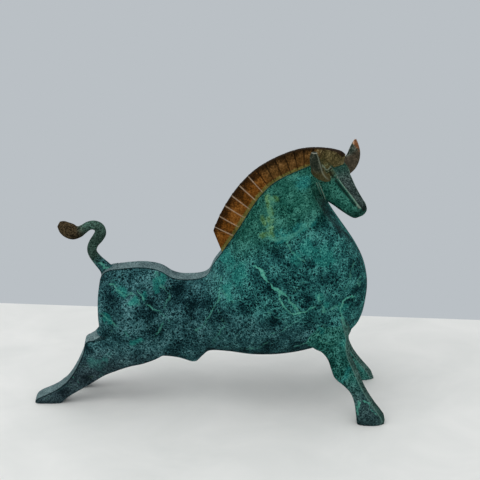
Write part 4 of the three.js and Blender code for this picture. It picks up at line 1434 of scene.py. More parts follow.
@dataclass(frozen=True)
class Patina(Finish):
    """The green and black patina of the cast skin, with the sizes in mm of its clouds and lines."""

    name: str = "patina"
    metallic: float = 0.08
    cloud: float = 24.0
    mottle: float = 5.2
    flake: float = 2.2
    grain: float = 1.2
    curl: float = 3.0
    web: float = 4.0
    crowd: float = 10.0
    fray: float = 2.6
    turquoise_edge: Fray = Fray(0.9, 0.22, 0.85)
    shadow_edge: Fray = Fray(0.7, 0.0, 1.1)
    golden_edge: Fray = Fray(0.7, 0.1, 0.75)

    TEAL: ClassVar[Ramp] = (
        (0.0, 6, 24, 28), (0.2, 13, 46, 49), (0.42, 28, 72, 73), (0.62, 41, 96, 94),
        (0.82, 56, 119, 115), (1.0, 80, 148, 142),
    )
    BRIGHT: ClassVar[Ramp] = (
        (0.0, 8, 50, 50), (0.2, 16, 74, 72), (0.45, 32, 100, 96), (0.7, 48, 124, 116), (1.0, 86, 160, 148),
    )
    GREY: ClassVar[Ramp] = (
        (0.0, 6, 22, 26), (0.2, 18, 44, 48), (0.45, 37, 72, 76), (0.7, 58, 102, 105), (1.0, 96, 142, 144),
    )
    GREEN: ClassVar[Ramp] = ((0.0, 6, 44, 36), (0.25, 20, 68, 57), (0.55, 36, 90, 77), (1.0, 66, 126, 110))
    GOLD: ClassVar[Ramp] = ((0.0, 32, 60, 34), (0.3, 54, 90, 54), (0.6, 72, 116, 78), (1.0, 108, 154, 114))
    ASH: ClassVar[Ramp] = ((0.0, 20, 31, 35), (0.4, 48, 61, 66), (0.7, 68, 86, 90), (1.0, 106, 128, 130))
    STRIP: ClassVar[Ramp] = (
        (0.0, 56, 76, 79), (0.4, 94, 115, 117), (0.75, 114, 137, 138), (1.0, 134, 157, 156),
    )
    SHADED_BRIDGE: ClassVar[Ramp] = ((0.0, 15, 25, 23), (0.45, 38, 51, 49), (0.8, 58, 73, 70), (1.0, 92, 108, 104))
    BROW: ClassVar[Ramp] = ((0.0, 14, 38, 32), (0.45, 34, 66, 58), (0.8, 54, 94, 82), (1.0, 84, 124, 110))
    OLIVE: ClassVar[Ramp] = ((0.0, 42, 40, 20), (0.45, 68, 62, 36), (0.8, 88, 82, 50), (1.0, 112, 106, 70))
    FRONT: ClassVar[Ramp] = ((0.0, 24, 44, 41), (0.5, 56, 79, 73), (1.0, 90, 118, 111))
    TAIL: ClassVar[Ramp] = ((0.0, 22, 40, 33), (0.5, 56, 76, 68), (1.0, 84, 120, 106))
    TUFT: ClassVar[Ramp] = ((0.0, 24, 20, 14), (0.5, 52, 44, 31), (1.0, 86, 74, 54))
    VEIN_AND_HIGHLIGHT: ClassVar[Ramp] = ((0.36, 42, 122, 106), (0.62, 102, 172, 154))
    STRIP_EDGE: ClassVar[Colour] = (14, 26, 29)
    FRONT_RIM_HIGHLIGHT: ClassVar[Colour] = (96, 132, 122)
    DARK_LINE: ClassVar[Colour] = (10, 18, 16)
    PALE_LINE: ClassVar[Colour] = (140, 158, 140)

    def colour(self, g: Graph) -> Socket:
        """Lays the ground, the veins, the strip along the back and the worked parts.

        Args:
            g: The material's graph.

        Returns:
            The colour.
        """
        where = g.place()
        mottle = g.noise(where, self.mottle, 2, 0.55, 0.3)
        grain = g.noise(where, self.grain, 1)
        rough = g.total((mottle, 1.1), (g.noise(where, self.flake, 2), 0.9), (grain, 0.5), (1.0, -1.25))
        turquoise = g.frayed("turquoise", rough, self.turquoise_edge)
        shadowed = g.frayed("shadowed", rough, self.shadow_edge)
        # The shadowed mark darkens the value: darker patina and painted shade. The lit mark lightens it with
        # painted light.
        value = g.total(
            (g.noise(where, self.cloud, 2), 0.75), (mottle, 0.35), (grain, 1.4),
            (self.net(g, turquoise), 0.84), (turquoise, 0.12), (shadowed, -0.36),
            (g.mark("ashen"), -0.02), (g.mark("lit"), 0.12), (1.0, -1.03),
        )
        ground = self.ground(g, value, rough, turquoise)
        colour = self.veins_and_highlights(g, ground, grain)
        strip_gap = g.mark("strip_gap")
        # The flat strip along the back is paler grey: partly its rubbed colour, partly painted sheen of the
        # light from above.
        colour = g.over(colour, g.ramp(value, self.STRIP), g.eased(strip_gap, -0.2, 0.4))
        colour = g.over(colour, linear(*self.STRIP_EDGE), g.close_to(strip_gap, -0.7, 1.2, 0.3), 0.75)
        return self.faced(g, colour, value)

    def net(self, g: Graph, turquoise: Socket) -> Socket:
        """Spins the net of fine curled lines that lies over the patina.

        Args:
            g: The material's graph.
            turquoise: Where the smooth turquoise is, which calms the net as the grey parts do.

        Returns:
            How strongly a line covers a point, from 0 to 1.
        """
        where = g.place()
        bent = g.bent(where, 2.5, 0.9)
        curls = g.close_to(g.noise(bent, self.curl, 1), 0.5, 0.075, 0.015)
        web = g.eased(g.cells(bent, self.web), 0.11, 0.03)
        crowd = g.eased(g.noise(where, self.crowd, 2), 0.36, 0.62)
        either = g.math("MAXIMUM", curls, g.product(web, 0.8))
        calm = g.total(
            (g.mark("hind_part"), -0.2), (g.mark("ashen"), -0.3), (turquoise, -0.45),
            (g.mark("greenish"), -0.08), (1.0, 1.0),
        )
        return g.product(either, g.total((crowd, 0.5), (1.0, 0.45)), calm)

    def ground(self, g: Graph, value: Socket, rough: Socket, turquoise: Socket) -> Socket:
        """Lays the patina's main colours.

        Args:
            g: The material's graph.
            value: The patina's light and dark, from 0 to 1.
            rough: Noise that breaks up the edges of the marks.
            turquoise: Where the turquoise is.

        Returns:
            The colour.
        """
        colour = g.over(g.ramp(value, self.TEAL), g.ramp(value, self.GREY), g.mark("hind_part"))
        colour = g.over(colour, g.ramp(value, self.GREEN), g.mark("greenish"), 0.9)
        colour = g.over(colour, g.ramp(value, self.BRIGHT), turquoise)
        colour = g.over(colour, g.ramp(value, self.ASH), g.mark("ashen"), 0.85)
        return g.over(colour, g.ramp(value, self.GOLD), g.frayed("golden", rough, self.golden_edge))

    def veins_and_highlights(self, g: Graph, colour: Socket, grain: Socket) -> Socket:
        """Lays the drawn veins, and the painted highlights along ridges, over a colour.

        Args:
            g: The material's graph.
            colour: The colour below.
            grain: Fine noise that breaks the lines up.

        Returns:
            The colour with the veins and the painted highlights.
        """
        frayed = g.noise(g.place(), self.fray, 3, 0.65)
        gap = g.total((g.mark("vein_gap"), 1), (frayed, 3.6), (grain, 1.3), (1.0, -2.75))
        cover = g.product(g.eased(gap, 1.5, 0.6), g.mark("vein_power"))
        return g.over(colour, g.ramp(g.total((grain, 0.5), (frayed, 0.5)), self.VEIN_AND_HIGHLIGHT), cover, 0.96)

    def faced(self, g: Graph, colour: Socket, value: Socket) -> Socket:
        """Lays the finish of the head, the tail and the legs' front faces over a colour.

        Args:
            g: The material's graph.
            colour: The colour below.
            value: The patina's light and dark, from 0 to 1.

        Returns:
            The colour with those parts.
        """
        height = g.node("ShaderNodeSeparateXYZ", {0: g.place()}).outputs["Z"]
        lower = g.eased(height, 0.108, 0.075)
        front_gap, tail_place = g.mark("front_gap"), g.mark("tail_place")
        # Painted shade: the flat bridge of the face is painted darker, greener towards the brow.
        shaded_bridge = g.over(g.ramp(value, self.SHADED_BRIDGE), g.ramp(value, self.BROW), g.eased(height, 0.222, 0.238))
        front = g.product(g.eased(front_gap, -4.4, -3.6), lower)
        # A painted highlight along the edge of the fore legs' front faces.
        rim = g.product(g.close_to(front_gap, -4.3, 1.0, 0.3), lower)
        for above, cover, share in (
            (shaded_bridge, g.eased(g.mark("bridge_gap"), -0.3, 0.3), 1.0),
            (g.ramp(value, self.OLIVE), g.mark("olive"), 1.0),
            (g.ramp(value, self.FRONT), front, 0.85),
            (linear(*self.FRONT_RIM_HIGHLIGHT), rim, 0.5),
            (g.ramp(value, self.TAIL), g.eased(tail_place, 1.2, 3.0), 1.0),
            (g.ramp(value, self.TUFT), g.eased(tail_place, 10.2, 12.4), 1.0),
            (linear(*self.DARK_LINE), g.mark("dark_line"), 0.85),
            (linear(*self.PALE_LINE), g.mark("pale_line"), 0.8),
        ):
            colour = g.over(colour, above, cover, share)
        return colour


@dataclass(frozen=True)
class ManeBronze(Finish):
    """The brown bronze of the mane: dark along its outer edge, warm below, olive towards the poll."""

    name: str = "mane_bronze"
    blotch: float = 7.0
    grain: float = 1.5

    WARM: ClassVar[Ramp] = ((0.0, 38, 24, 8), (0.35, 76, 46, 14), (0.6, 106, 64, 22), (1.0, 146, 98, 46))
    DULL: ClassVar[Ramp] = ((0.0, 38, 28, 14), (0.4, 76, 58, 30), (0.7, 102, 80, 48), (1.0, 124, 104, 68))
    OLIVE: ClassVar[Ramp] = ((0.0, 28, 28, 14), (0.4, 68, 62, 37), (0.7, 104, 94, 62), (1.0, 150, 138, 102))
    BEAD: ClassVar[Ramp] = ((0.0, 64, 62, 28), (0.6, 104, 98, 50), (1.0, 134, 126, 76))
    EDGE: ClassVar[Ramp] = ((0.3, 20, 16, 12), (0.75, 58, 44, 30))
    OUTER: ClassVar[Colour] = (26, 18, 10)
    GROOVE: ClassVar[Colour] = (18, 13, 9)
    RIDGE: ClassVar[Colour] = (172, 150, 126)

    def colour(self, g: Graph) -> Socket:
        """Lays the crest's colours from its lower end to the poll, then its edges and grooves.

        Args:
            g: The material's graph.

        Returns:
            The colour.
        """
        where = g.place()
        blotch = g.noise(where, self.blotch, 2)
        grain = g.noise(where, self.grain, 1)
        rim, place = g.mark("rim"), g.mark("place")
        rough = g.total((blotch, 0.5), (grain, 0.5), (1.0, -0.5))
        lock = g.node("ShaderNodeTexWhiteNoise", {"W": g.math("FLOOR", place)}, noise_dimensions="1D")
        value = g.total((blotch, 1.1), (grain, 1.0), (lock.outputs["Value"], 0.22), (1.0, -0.66))
        late = g.eased(place, 11, 14)
        colour = g.ramp(value, self.WARM)
        for above, cover, share in (
            (g.ramp(value, self.DULL), g.eased(place, 6.2, 8.2), 0.6),
            (g.ramp(value, self.OLIVE), g.eased(g.total((place, 1), (rough, 3)), 12.6, 14.4), 1.0),
            (linear(*self.OUTER), g.eased(g.total((rim, 1), (rough, 0.6), (late, 0.22)), 0.5, 0.05), 0.88),
            (g.ramp(value, self.BEAD), g.eased(g.total((rim, 1), (rough, 0.15)), 0.74, 0.82), 1.0),
            (linear(*self.GROOVE), g.mark("groove"), 0.8),
            # The ridges are painted pale: partly polished bronze, partly painted highlight.
            (linear(*self.RIDGE), g.product(g.mark("ridge"), g.total((grain, 1.1), (1.0, 0.3))), 1.0),
            (g.ramp(grain, self.EDGE), g.eased(g.mark("edge"), -0.3, 0.3), 1.0),
        ):
            colour = g.over(colour, above, cover, share)
        return colour


@dataclass(frozen=True)
class DarkHorn(Finish):
    """The dark right horn, with a pale worn front edge and tip."""

    name: str = "dark_horn_bronze"
    roughness: float = 0.45

    DARK: ClassVar[Ramp] = ((0.0, 12, 18, 15), (0.5, 40, 46, 37), (1.0, 96, 98, 84))
    OLIVE: ClassVar[Ramp] = ((0.0, 36, 35, 18), (0.5, 72, 67, 42), (1.0, 118, 110, 78))
    WORN: ClassVar[Colour] = (132, 138, 118)
    TIP: ClassVar[Colour] = (150, 152, 140)

    def colour(self, g: Graph) -> Socket:
        """Lays the horn's colours from its root to its tip.

        Args:
            g: The material's graph.

        Returns:
            The colour.
        """
        where = g.place()
        value = g.total((g.noise(where, 4, 2), 0.8), (g.noise(where, 1.2, 1), 0.9), (1.0, -0.35))
        up = g.mark("up")
        colour = g.over(g.ramp(value, self.DARK), g.ramp(value, self.OLIVE), g.eased(up, 0.62, 0.42))
        worn = g.product(g.eased(g.mark("front"), 0.975, 0.996), g.eased(up, 0.12, 0.4))
        colour = g.over(colour, linear(*self.WORN), worn, 0.5)
        return g.over(colour, linear(*self.TIP), g.close_to(up, 0.965, 0.025, 0.008), 0.8)


@dataclass(frozen=True)
class CopperHorn(Finish):
    """The left horn, rubbed to bright copper along its tip and front."""

    name: str = "copper_horn_bronze"
    roughness: float = 0.48
    rubbed_roughness: float = 0.28
    rubbed_metallic: float = 0.75

    BASE: ClassVar[Ramp] = ((0.0, 30, 30, 24), (0.4, 56, 52, 42), (0.7, 78, 70, 58), (1.0, 112, 102, 88))
    GREEN: ClassVar[Ramp] = ((0.0, 18, 26, 22), (0.5, 50, 58, 50), (1.0, 150, 158, 146))
    COPPER: ClassVar[Ramp] = ((0.0, 70, 42, 24), (0.5, 118, 76, 46), (1.0, 176, 128, 92))
    GLINT: ClassVar[Colour] = (226, 188, 156)

    def dress(self, g: Graph, surface: bpy.types.Node) -> None:
        """Feeds the shader with the colours from root to tip, and the gloss of the rubbed part.

        Args:
            g: The material's graph.
            surface: Its surface shader.
        """
        where = g.place()
        noise = g.noise(where, 3.5, 2)
        value = g.total((noise, 0.8), (g.noise(where, 1.2, 1), 0.8), (1.0, -0.3))
        up, front = g.mark("up"), g.mark("front")
        rubbed = g.eased(g.total((up, 1), (front, 0.1), (noise, 0.2)), 0.85, 0.98)
        greened = g.eased(g.total((up, 1), (front, -0.2)), 0.5, 0.68)
        colour = g.over(g.ramp(value, self.BASE), g.ramp(value, self.GREEN), greened)
        # A painted highlight: a pale stripe along the rubbed tip.
        glint = g.close_to(front, -0.3, 0.45, 0.1)
        copper = g.over(g.ramp(value, self.COPPER), linear(*self.GLINT), glint, 0.75)
        roughness = g.total((rubbed, self.rubbed_roughness - self.roughness), (1.0, self.roughness))
        g.feed(surface.inputs["Base Color"], g.over(colour, copper, rubbed))
        g.feed(surface.inputs["Metallic"], g.product(rubbed, self.rubbed_metallic))
        g.feed(surface.inputs["Roughness"], roughness)


@dataclass(frozen=True)
class TablePaint(Finish):
    """The white table's faintly cloudy paint."""

    name: str = "white_table"
    roughness: float = 0.6
    metallic: float = 0.0
    specular: float = 0.2

    WHITE: ClassVar[Ramp] = ((0.3, 223, 225, 222), (0.7, 233, 234, 231))

    def colour(self, g: Graph) -> Socket:
        """The paint's faint clouds."""
        return g.ramp(g.noise(g.place(), 90, 3, 0.6, 0.5), self.WHITE)


class Stroke(NamedTuple):
    """A line worked into the head: its course as (along, up) in mm, half width, push, and how pale it is."""

    course: tuple[Point2, ...]
    half: float
    push: float
    pale: float


@dataclass
class Face:
    """What is worked into the head's skin: eyes, nostrils, the lines of brow and jaw, and their colours."""

    eye_middle: Point2 = (123.9, 232.4)
    eye_way: Point2 = (0.557, -0.83)
    eye_size: Point2 = (4.75, 1.9)
    eye_rise: float = 1.1
    nostril_middle: Point2 = (147.6, 201.6)
    nostril_size: Point2 = (1.7, 1.0)
    nostril_depth: float = 0.9

    STROKES: ClassVar[tuple[Stroke, ...]] = (
        Stroke(((111, 222.1), (113.5, 217.5), (115.1, 211.7), (115.1, 206.2)), 0.5, 0.35, 0.8),
        Stroke(((109.8, 222), (112.2, 217.2), (113.7, 211.5), (113.7, 206.2)), 0.7, -0.5, -0.7),
        Stroke(((107.7, 221.1), (109.8, 215.5), (111.5, 208.6)), 0.45, 0.3, 0.6),
        Stroke(
            ((123.5, 241.8), (120.8, 239), (120, 236.2), (118.1, 234.6), (115.5, 236.5), (112.7, 238.3)),
            0.38, 0.35, 0.5,
        ),
        Stroke(((121, 237.2), (123, 235.6), (126, 231), (127.6, 227.7)), 0.5, 0.3, 0.8),
        Stroke(((121.6, 233), (123.6, 229.6), (126.6, 227.2)), 0.5, -0.3, -0.8),
        Stroke(((142.6, 196.5), (146, 196.6), (149.4, 197.2)), 0.5, -0.4, -0.8),
        Stroke(
            ((126.6, 226.1), (131.1, 219.9), (135.7, 214.1), (140.5, 208.5), (144.9, 203.5)), 0.85, -0.3, -1,
        ),
        Stroke(
            ((128.5, 226.3), (133.1, 220.1), (137.8, 214.4), (142.7, 208.5), (147.2, 203.2)), 0.3, 0.2, 0.65,
        ),
        Stroke(((146, 204.4), (147.4, 202.8), (149, 201.6)), 0.5, 0.2, 0.75),
        Stroke(((117, 205), (125, 201), (134.5, 196.2), (142, 193.6)), 1.1, 0, -0.75),
        Stroke(((143, 192.5), (148, 193.5), (150.5, 198)), 1.8, 0, -0.6),
    )
    MUZZLE: ClassVar[list[Point3]] = [(142.5, 193.5, 4), (146.5, 196, 4.5), (149.5, 199.5, 4), (151, 203, 3)]
    FOREHEAD: ClassVar[list[Point3]] = [
        (109, 243, 8), (114, 241, 8), (118, 237, 6), (114, 234, 7), (121, 231, 4),
    ]

    def work(self, piece: bpy.types.Object) -> None:
        """Refines the head's skin, works the face into it and stores its marks.

        Args:
            piece: The head.
        """
        refine = piece.modifiers.new("refine", "SUBSURF")
        refine.subdivision_type = "SIMPLE"
        refine.levels = 1
        refine.render_levels = 1
        mesh = settled(piece).data
        points = coordinates(mesh)
        normals = vertex_normals(mesh)
        pivot = np.array([TURN_PIVOT, 0, 0])
        flat = turned(points / MM - np.array([FRAME_SHIFT, 0, 0]), -HEAD_TURN)[:, [0, 2]]
        sideways = np.abs((turned(normals + pivot, -HEAD_TURN) - pivot)[:, 1])
        aside = smooth(sideways, 0.15, 0.45)
        push, pale, dark = self.struck(flat, aside)
        eye = self.within(flat, self.eye_middle, self.eye_size)
        nostril = self.within(flat, self.nostril_middle, self.nostril_size)
        push += self.eye_rise * np.sqrt(np.clip(1 - eye * eye, 0, 1)) * aside
        push -= self.nostril_depth * np.clip(1 - nostril * nostril, 0, 1) * aside
        for shade in (
            0.9 * smooth(np.abs(eye - 1.1), 0.35, 0.1) * aside,
            0.5 * smooth(eye, 0.75, 0.5) * aside,
            smooth(nostril, 1.1, 0.6) * aside,
            0.75 * clouds(flat, self.MUZZLE),
        ):
            dark = np.maximum(dark, shade)
        mesh.vertices.foreach_set("co", (points + normals * push[:, None] * MM).ravel())
        mesh.update()
        behind_eyes = smooth(flat[:, 0], 122, 118)
        olive = clouds(flat, self.FOREHEAD) * np.maximum(smooth(sideways, 0.1, 0.35), behind_eyes)
        for name, values in (("pale_line", pale), ("dark_line", dark), ("olive", olive)):
            store(mesh, name, values)

    def struck(self, flat: np.ndarray, aside: np.ndarray) -> tuple[np.ndarray, np.ndarray, np.ndarray]:
        """Works the strokes into the head.

        Args:
            flat: The vertices as (along, up) in mm.
            aside: How far each faces sideways, from 0 to 1.

        Returns:
            How far each vertex is pushed out in mm, how pale it is and how dark it is.
        """
        push, pale, dark = np.zeros((3, len(flat)))
        for stroke in self.STROKES:
            distance, _ = gap_to(flat, smooth_line(stroke.course, 5))
            cover = smooth(distance, 2 * stroke.half, 0.3 * stroke.half) * aside
            push += cover * stroke.push
            pale = np.maximum(pale, cover * max(stroke.pale, 0))
            dark = np.maximum(dark, cover * max(-stroke.pale, 0))
        return push, pale, dark

    def within(self, flat: np.ndarray, middle: Point2, size: Point2) -> np.ndarray:
        """Measures places by an oval that lies along the face.

        Args:
            flat: The places as (along, up) in mm.
            middle: The oval's middle.
            size: Half its length and half its width, in mm.

        Returns:
            How far out each place is, with 1 at the oval's rim.
        """
        away = flat - np.array(middle)
        along = away @ np.array(self.eye_way)
        across = away @ np.array([-self.eye_way[1], self.eye_way[0]])
        return np.hypot(along / size[0], across / size[1])


@dataclass
class Crest:
    """The mane's crest: a tapering plate, cut into locks by Geometry Nodes."""

    outer_edge: float = 4.25
    base_edge: float = 8.5
    bulge: float = 6.975
    steps: int = 24
    side: int = 28
    grooves: int = 14
    ridged_grooves: int = 6
    groove_width: float = 0.1
    groove_depth: float = 0.8 * MM
    ridge_width: float = 0.07
    ridge_height: float = 0.45 * MM
    lock_swell: float = 0.35 * MM

    def stations(self) -> list[Station]:
        """Draws the crest.

        Returns:
            Its sections, from the lower end to the block over the poll.
        """
        rows = [
            ((1, 170), (10, 149), 0), ((2.5, 173.7), (22.2, 165.8), 0), ((7, 184.1), (27.5, 174), 0),
            ((12.4, 194.3), (32.8, 182.8), 0), ((18.6, 204.2), (37.8, 191), 0),
            ((25.9, 213.8), (43.1, 199.3), 0), ((34.2, 222.7), (49.2, 207.2), 0),
            ((41.5, 229.1), (54.2, 212.4), 0), ((49.6, 234.5), (59.9, 217.2), 0),
            ((58.1, 239.2), (67, 221.6), 0), ((67, 243.3), (74.5, 225.4), 0),
            ((76.1, 246.6), (81, 228), 0.12 * NECK_TURN), ((85.6, 248.8), (87, 230.2), 0.35 * NECK_TURN),
            ((95.3, 249.8), (93.4, 232.8), 0.65 * NECK_TURN), ((105, 250), (99.5, 236), NECK_TURN),
            ((114.5, 250), (108, 239.5), 0.85 * HEAD_TURN), ((122, 249.3), (114, 237.5), HEAD_TURN),
            ((126, 247), (120.5, 233.5), HEAD_TURN),
        ]
        return [Station(a, b, self.bulge, self.outer_edge, self.base_edge, turn) for a, b, turn in rows]

    def build(self) -> bpy.types.Object:
        """Builds the crest with its relief and finish.

        Returns:
            The crest.
        """
        plate = loft("crest", self.stations(), self.steps, self.side)
        made = plate.made("crest_locks")
        share = eased_shares(self.side)
        rim = np.tile(np.concatenate([[0], share, [1], share[::-1]]), len(plate.rings))
        store(made.data, "rim", np.append(rim, [0.5, 0.5]))
        shade_smooth(made.data)
        material = ManeBronze().material()
        made.data.materials.append(material)
        self.relief(made, material)
        return settled(made)

    def relief(self, made: bpy.types.Object, material: bpy.types.Material) -> None:
        """Adds the node tree that raises the locks between the grooves.

        Args:
            made: The plain crest.
            material: Its finish.
        """
        tree = bpy.data.node_groups.new("mane_relief", "GeometryNodeTree")
        sizes = {
            "Groove Width": self.groove_width,
            "Groove Depth": self.groove_depth,
            "Ridge Width": self.ridge_width,
            "Ridge Height": self.ridge_height,
            "Lock Swell": self.lock_swell,
            "Ridged Grooves": self.ridged_grooves + 0.5,
            "Last Groove": self.grooves + 0.5,
        }
        interface = tree.interface
        interface.new_socket("Geometry", in_out="INPUT", socket_type="NodeSocketGeometry")
        interface.new_socket("Geometry", in_out="OUTPUT", socket_type="NodeSocketGeometry")
        for name in sizes:
            interface.new_socket(name, in_out="INPUT", socket_type="NodeSocketFloat")
        interface.new_socket("Finish", in_out="INPUT", socket_type="NodeSocketMaterial")
        g = Graph(tree)
        given = g.node("NodeGroupInput").outputs
        groove, ridge, height = self.height(g, given)
        normal = g.node("GeometryNodeInputNormal").outputs[0]
        offset = g.node("ShaderNodeVectorMath", {0: normal, "Scale": height}, operation="SCALE").outputs[0]
        moved = {"Geometry": given["Geometry"], "Offset": offset}
        result = g.node("GeometryNodeSetPosition", moved).outputs[0]
        result = g.kept(result, "groove", groove)
        result = g.kept(result, "ridge", ridge)
        result = g.node("GeometryNodeRealizeInstances", {0: result}).outputs[0]
        dressed = {"Geometry": result, "Material": given["Finish"]}
        result = g.node("GeometryNodeSetMaterial", dressed).outputs[0]
        g.node("NodeGroupOutput", {0: result})
        modifier = made.modifiers.new("relief", "NODES")
        modifier.node_group = tree
        for item in interface.items_tree:
            if item.in_out == "INPUT" and item.name in sizes:
                modifier[item.identifier] = sizes[item.name]
            elif item.in_out == "INPUT" and item.name == "Finish":
                modifier[item.identifier] = material

    def height(self, g: Graph, given: bpy.types.NodeOutputs) -> tuple[Socket, Socket, Socket]:
        """Works out how the relief rises and falls between one groove and the next.

        Args:
            g: The tree's graph.
            given: The tree's inputs.

        Returns:
            How deep in a groove and how high on a ridge a point is, from 0 to 1, and how far it is raised.
        """
        place, rim = g.named("place"), g.named("rim")
        gap = g.math("ABSOLUTE", g.math("SUBTRACT", place, g.math("ROUND", place)))
        above_base = g.eased(rim, 0.93, 0.82)
        within_edge = g.eased(rim, 0.0, 0.06)
        started = g.math("GREATER_THAN", place, 0.5)
        counted = g.product(started, g.math("LESS_THAN", place, given["Last Groove"]), above_base)
        ridged = g.math("LESS_THAN", place, given["Ridged Grooves"])
        groove = g.product(g.eased(gap, given["Groove Width"], 0.0), counted, g.math("SUBTRACT", 1.0, ridged))
        ridge = g.product(g.eased(gap, given["Ridge Width"], 0.0), ridged, counted)
        lock = g.product(g.eased(gap, 0.03, 0.4), within_edge, counted)
        raised = g.math("ADD", g.product(lock, given["Lock Swell"]), g.product(ridge, given["Ridge Height"]))
        depth = g.product(g.total((within_edge, 0.7), (1.0, 0.3)), given["Groove Depth"])
        return groove, ridge, g.math("SUBTRACT", raised, g.product(groove, depth))


@dataclass
class Horn:
    """One horn: a broad leaf that grows out of the head and curls up to its tip."""

    side: Side
    thickness: float = 9.0
    root_spread: float = 20.0
    spread: float = 71.5
    blunt: float = 1.3
    steps: int = 10
    sides: int = 36

    def rows(self) -> list[tuple[float, ...]]:
        """Draws the horn.

        Returns:
            Its sections: rear and front edge as (x, z), share of the spread, yaw, and share of the thickness.
        """
        blunt = self.blunt if self.side is Side.RIGHT else 0
        return [
            (106, 231, 121, 225, 0, 0.6, 1), (105, 232.5, 123.5, 226.5, 0.28, 0.8, 1),
            (107.5, 235, 124.5, 230, 0.58, 1, 0.95), (111.4, 239.5, 124.5, 235.8, 0.82, 1.1, 0.9),
            (112.9 - blunt / 2, 246, 123.4 + blunt / 2, 243, 0.95, 1, 0.85),
            (114.6 - blunt, 251, 121 + blunt, 249.5, 1, 0.6, 0.76),
            (116.8 - blunt, 254.7, 118.2 + blunt, 254.6, 1, 0.1, 0.55),
        ]

    def build(self) -> bpy.types.Object:
        """Builds the horn and its finish.

        Returns:
            The horn.
        """
        rows = self.rows()
        places = fine_places(len(rows), self.steps)
        table = spline(np.array(rows, float), places)
        out, yaw, thick = table[:, 4], table[:, 5], table[:, 6]
        aside = (self.root_spread * (1 - out) + self.spread * out) / 2
        sign = self.side.value
        rear = np.stack([table[:, 0], sign * (aside - yaw), table[:, 1]], axis=1)
        front = np.stack([table[:, 2], sign * (aside + yaw), table[:, 3]], axis=1)
        middle = (rear + front) / 2
        broad = (front - rear) / 2
        thin = np.cross(np.gradient(middle, axis=0), broad)
        thin *= (thick * self.thickness / 2 / np.linalg.norm(thin, axis=1))[:, None]
        angle = 2 * np.pi * np.arange(self.sides) / self.sides
        across = broad[:, None] * np.cos(angle)[None, :, None]
        rings = middle[:, None] + across + thin[:, None] * np.sin(angle)[None, :, None]
        shape = (len(places), self.sides)
        marks = {
            "up": np.broadcast_to(places[:, None] / (len(rows) - 1), shape),
            "front": np.broadcast_to(np.cos(angle), shape),
        }
        solid = Solid("horn", framed(turned(rings, HEAD_TURN)), marks=marks)
        made = solid.made(f"{self.side.name.lower()}_horn_leaf")
        shade_smooth(made.data)
        finish = DarkHorn() if self.side is Side.RIGHT else CopperHorn()
        made.data.materials.append(finish.material())
        return made


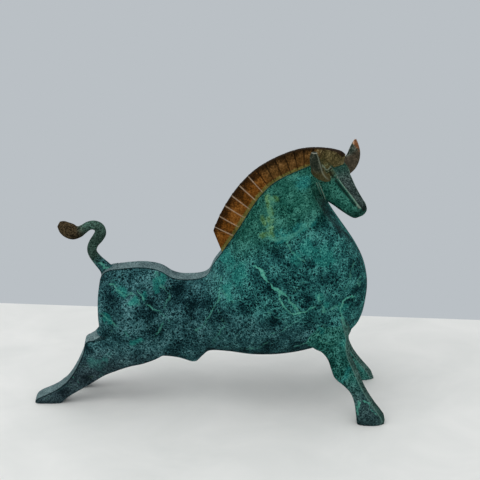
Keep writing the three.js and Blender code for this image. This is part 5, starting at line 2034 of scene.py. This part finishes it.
@dataclass
class Studio:
    """The camera at the photograph's angle, the soft light, the white table and the pale wall."""

    azimuth: float = 2.8
    elevation: float = 16.0
    distance: float = 1.14
    target: Point3 = (0.03065, 0.0, 0.160)
    lens: float = 90.0
    sensor: float = 36.0
    wall_colour: Colour = (186, 192, 197)
    dome_colour: Colour = (252, 253, 255)
    dome: float = 0.82
    lamp: float = 8.0
    lamp_size: Point2 = (1.5, 1.2)
    lamp_place: Point3 = (-0.55, -0.75, 1.5)
    table_edge: Point2 = (303 / 480, 320 / 480)
    table_reach: float = 3.0
    table_thickness: float = 0.03

    def axes(self) -> tuple[Vector, Vector, Vector]:
        """Works out which way the camera looks.

        Returns:
            Its directions: right, up and forward.
        """
        azimuth, elevation = math.radians(self.azimuth), math.radians(self.elevation)
        level = math.cos(elevation)
        forward = Vector((-math.sin(azimuth) * level, math.cos(azimuth) * level, -math.sin(elevation)))
        right = forward.cross(Vector((0, 0, 1))).normalized()
        return right, right.cross(forward), forward

    def camera(self) -> None:
        """Sets up the camera."""
        forward = self.axes()[2]
        data = bpy.data.cameras.new("camera")
        data.lens = self.lens
        data.sensor_width = self.sensor
        made = bpy.data.objects.new("camera", data)
        made.location = Vector(self.target) - forward * self.distance
        made.rotation_euler = forward.to_track_quat("-Z", "Y").to_euler()
        bpy.context.scene.collection.objects.link(made)
        bpy.context.scene.camera = made

    def on_table(self, across: float, down: float) -> Vector:
        """Where the table shows at a place in the picture.

        Args:
            across: The place as a share of the picture's width.
            down: The place as a share of its height.

        Returns:
            The point on the table's top.
        """
        right, up, forward = self.axes()
        start = Vector(self.target) - forward * self.distance
        reach = self.sensor / self.lens
        ray = forward + right * (across - 0.5) * reach + up * (0.5 - down) * reach
        return start - ray * (start.z / ray.z)

    def light(self) -> None:
        """Sets up the lamp and the room: the camera sees the plain wall, and the bull the lighter dome."""
        scene = bpy.context.scene
        scene.view_settings.view_transform = "Standard"
        world = bpy.data.worlds.new("room")
        scene.world = world
        world.use_nodes = True
        g = Graph(world.node_tree)
        wall = world.node_tree.nodes["Background"]
        wall.inputs["Color"].default_value = linear(*self.wall_colour)
        lit = {"Color": linear(*self.dome_colour), "Strength": self.dome}
        dome = g.node("ShaderNodeBackground", lit)
        seen = g.node("ShaderNodeLightPath").outputs["Is Camera Ray"]
        both = g.node("ShaderNodeMixShader", {0: seen, 1: dome.outputs[0], 2: wall.outputs[0]})
        g.feed(world.node_tree.nodes["World Output"].inputs["Surface"], both.outputs[0])
        lamp = bpy.data.lights.new("window", "AREA")
        lamp.shape = "RECTANGLE"
        lamp.size, lamp.size_y = self.lamp_size
        lamp.energy = self.lamp
        made = bpy.data.objects.new("window", lamp)
        made.location = self.lamp_place
        made.rotation_euler = (-Vector(self.lamp_place)).to_track_quat("-Z", "Y").to_euler()
        scene.collection.objects.link(made)

    def table(self) -> None:
        """Lays the white table top, whose back edge crosses the picture as in the photograph."""
        left, right = (self.on_table(across, down) for across, down in zip((0.0, 1.0), self.table_edge))
        reach = self.table_reach
        beyond = (right - left).normalized() * reach
        corners = [left - beyond, right + beyond, Vector((reach, -reach, 0)), Vector((-reach, -reach, 0))]
        slab = [(corner.x, corner.y, z) for z in (0.0, -self.table_thickness) for corner in corners]
        sides = [(0, 3, 2, 1), (4, 5, 6, 7), (0, 1, 5, 4), (1, 2, 6, 5), (2, 3, 7, 6), (3, 0, 4, 7)]
        top = mesh_object("table", np.array(slab), sides)
        top.data.materials.append(TablePaint().material())


def report(piece: bpy.types.Object) -> None:
    """Says that a piece is done, and how many faces it has."""
    LOG.info("%s: %d faces", piece.name, len(piece.data.polygons))


def main() -> None:
    """Builds the bull, its finishes and the studio in order."""
    logging.basicConfig(level=logging.INFO, format="%(message)s")
    studio = Studio()
    studio.camera()
    hidden = [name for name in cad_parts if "dowel" in name or "pin" in name]
    patina = Patina().material()
    for cut, piece in Skin().pieces().items():
        if cut is Cut.HEAD:
            Face().work(piece)
        piece.data.materials.append(patina)
        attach(piece, ROOT)
        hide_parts(cut.value, *[name for name in hidden if goes_with(name, cut)])
        report(piece)
    crest = Crest().build()
    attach(crest, ROOT)
    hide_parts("crest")
    report(crest)
    for side in Side:
        horn = Horn(side).build()
        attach(horn, ROOT)
        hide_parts(f"{side.name.lower()}_horn")
        report(horn)
    studio.light()
    studio.table()


if __name__ == "__main__":
    main()
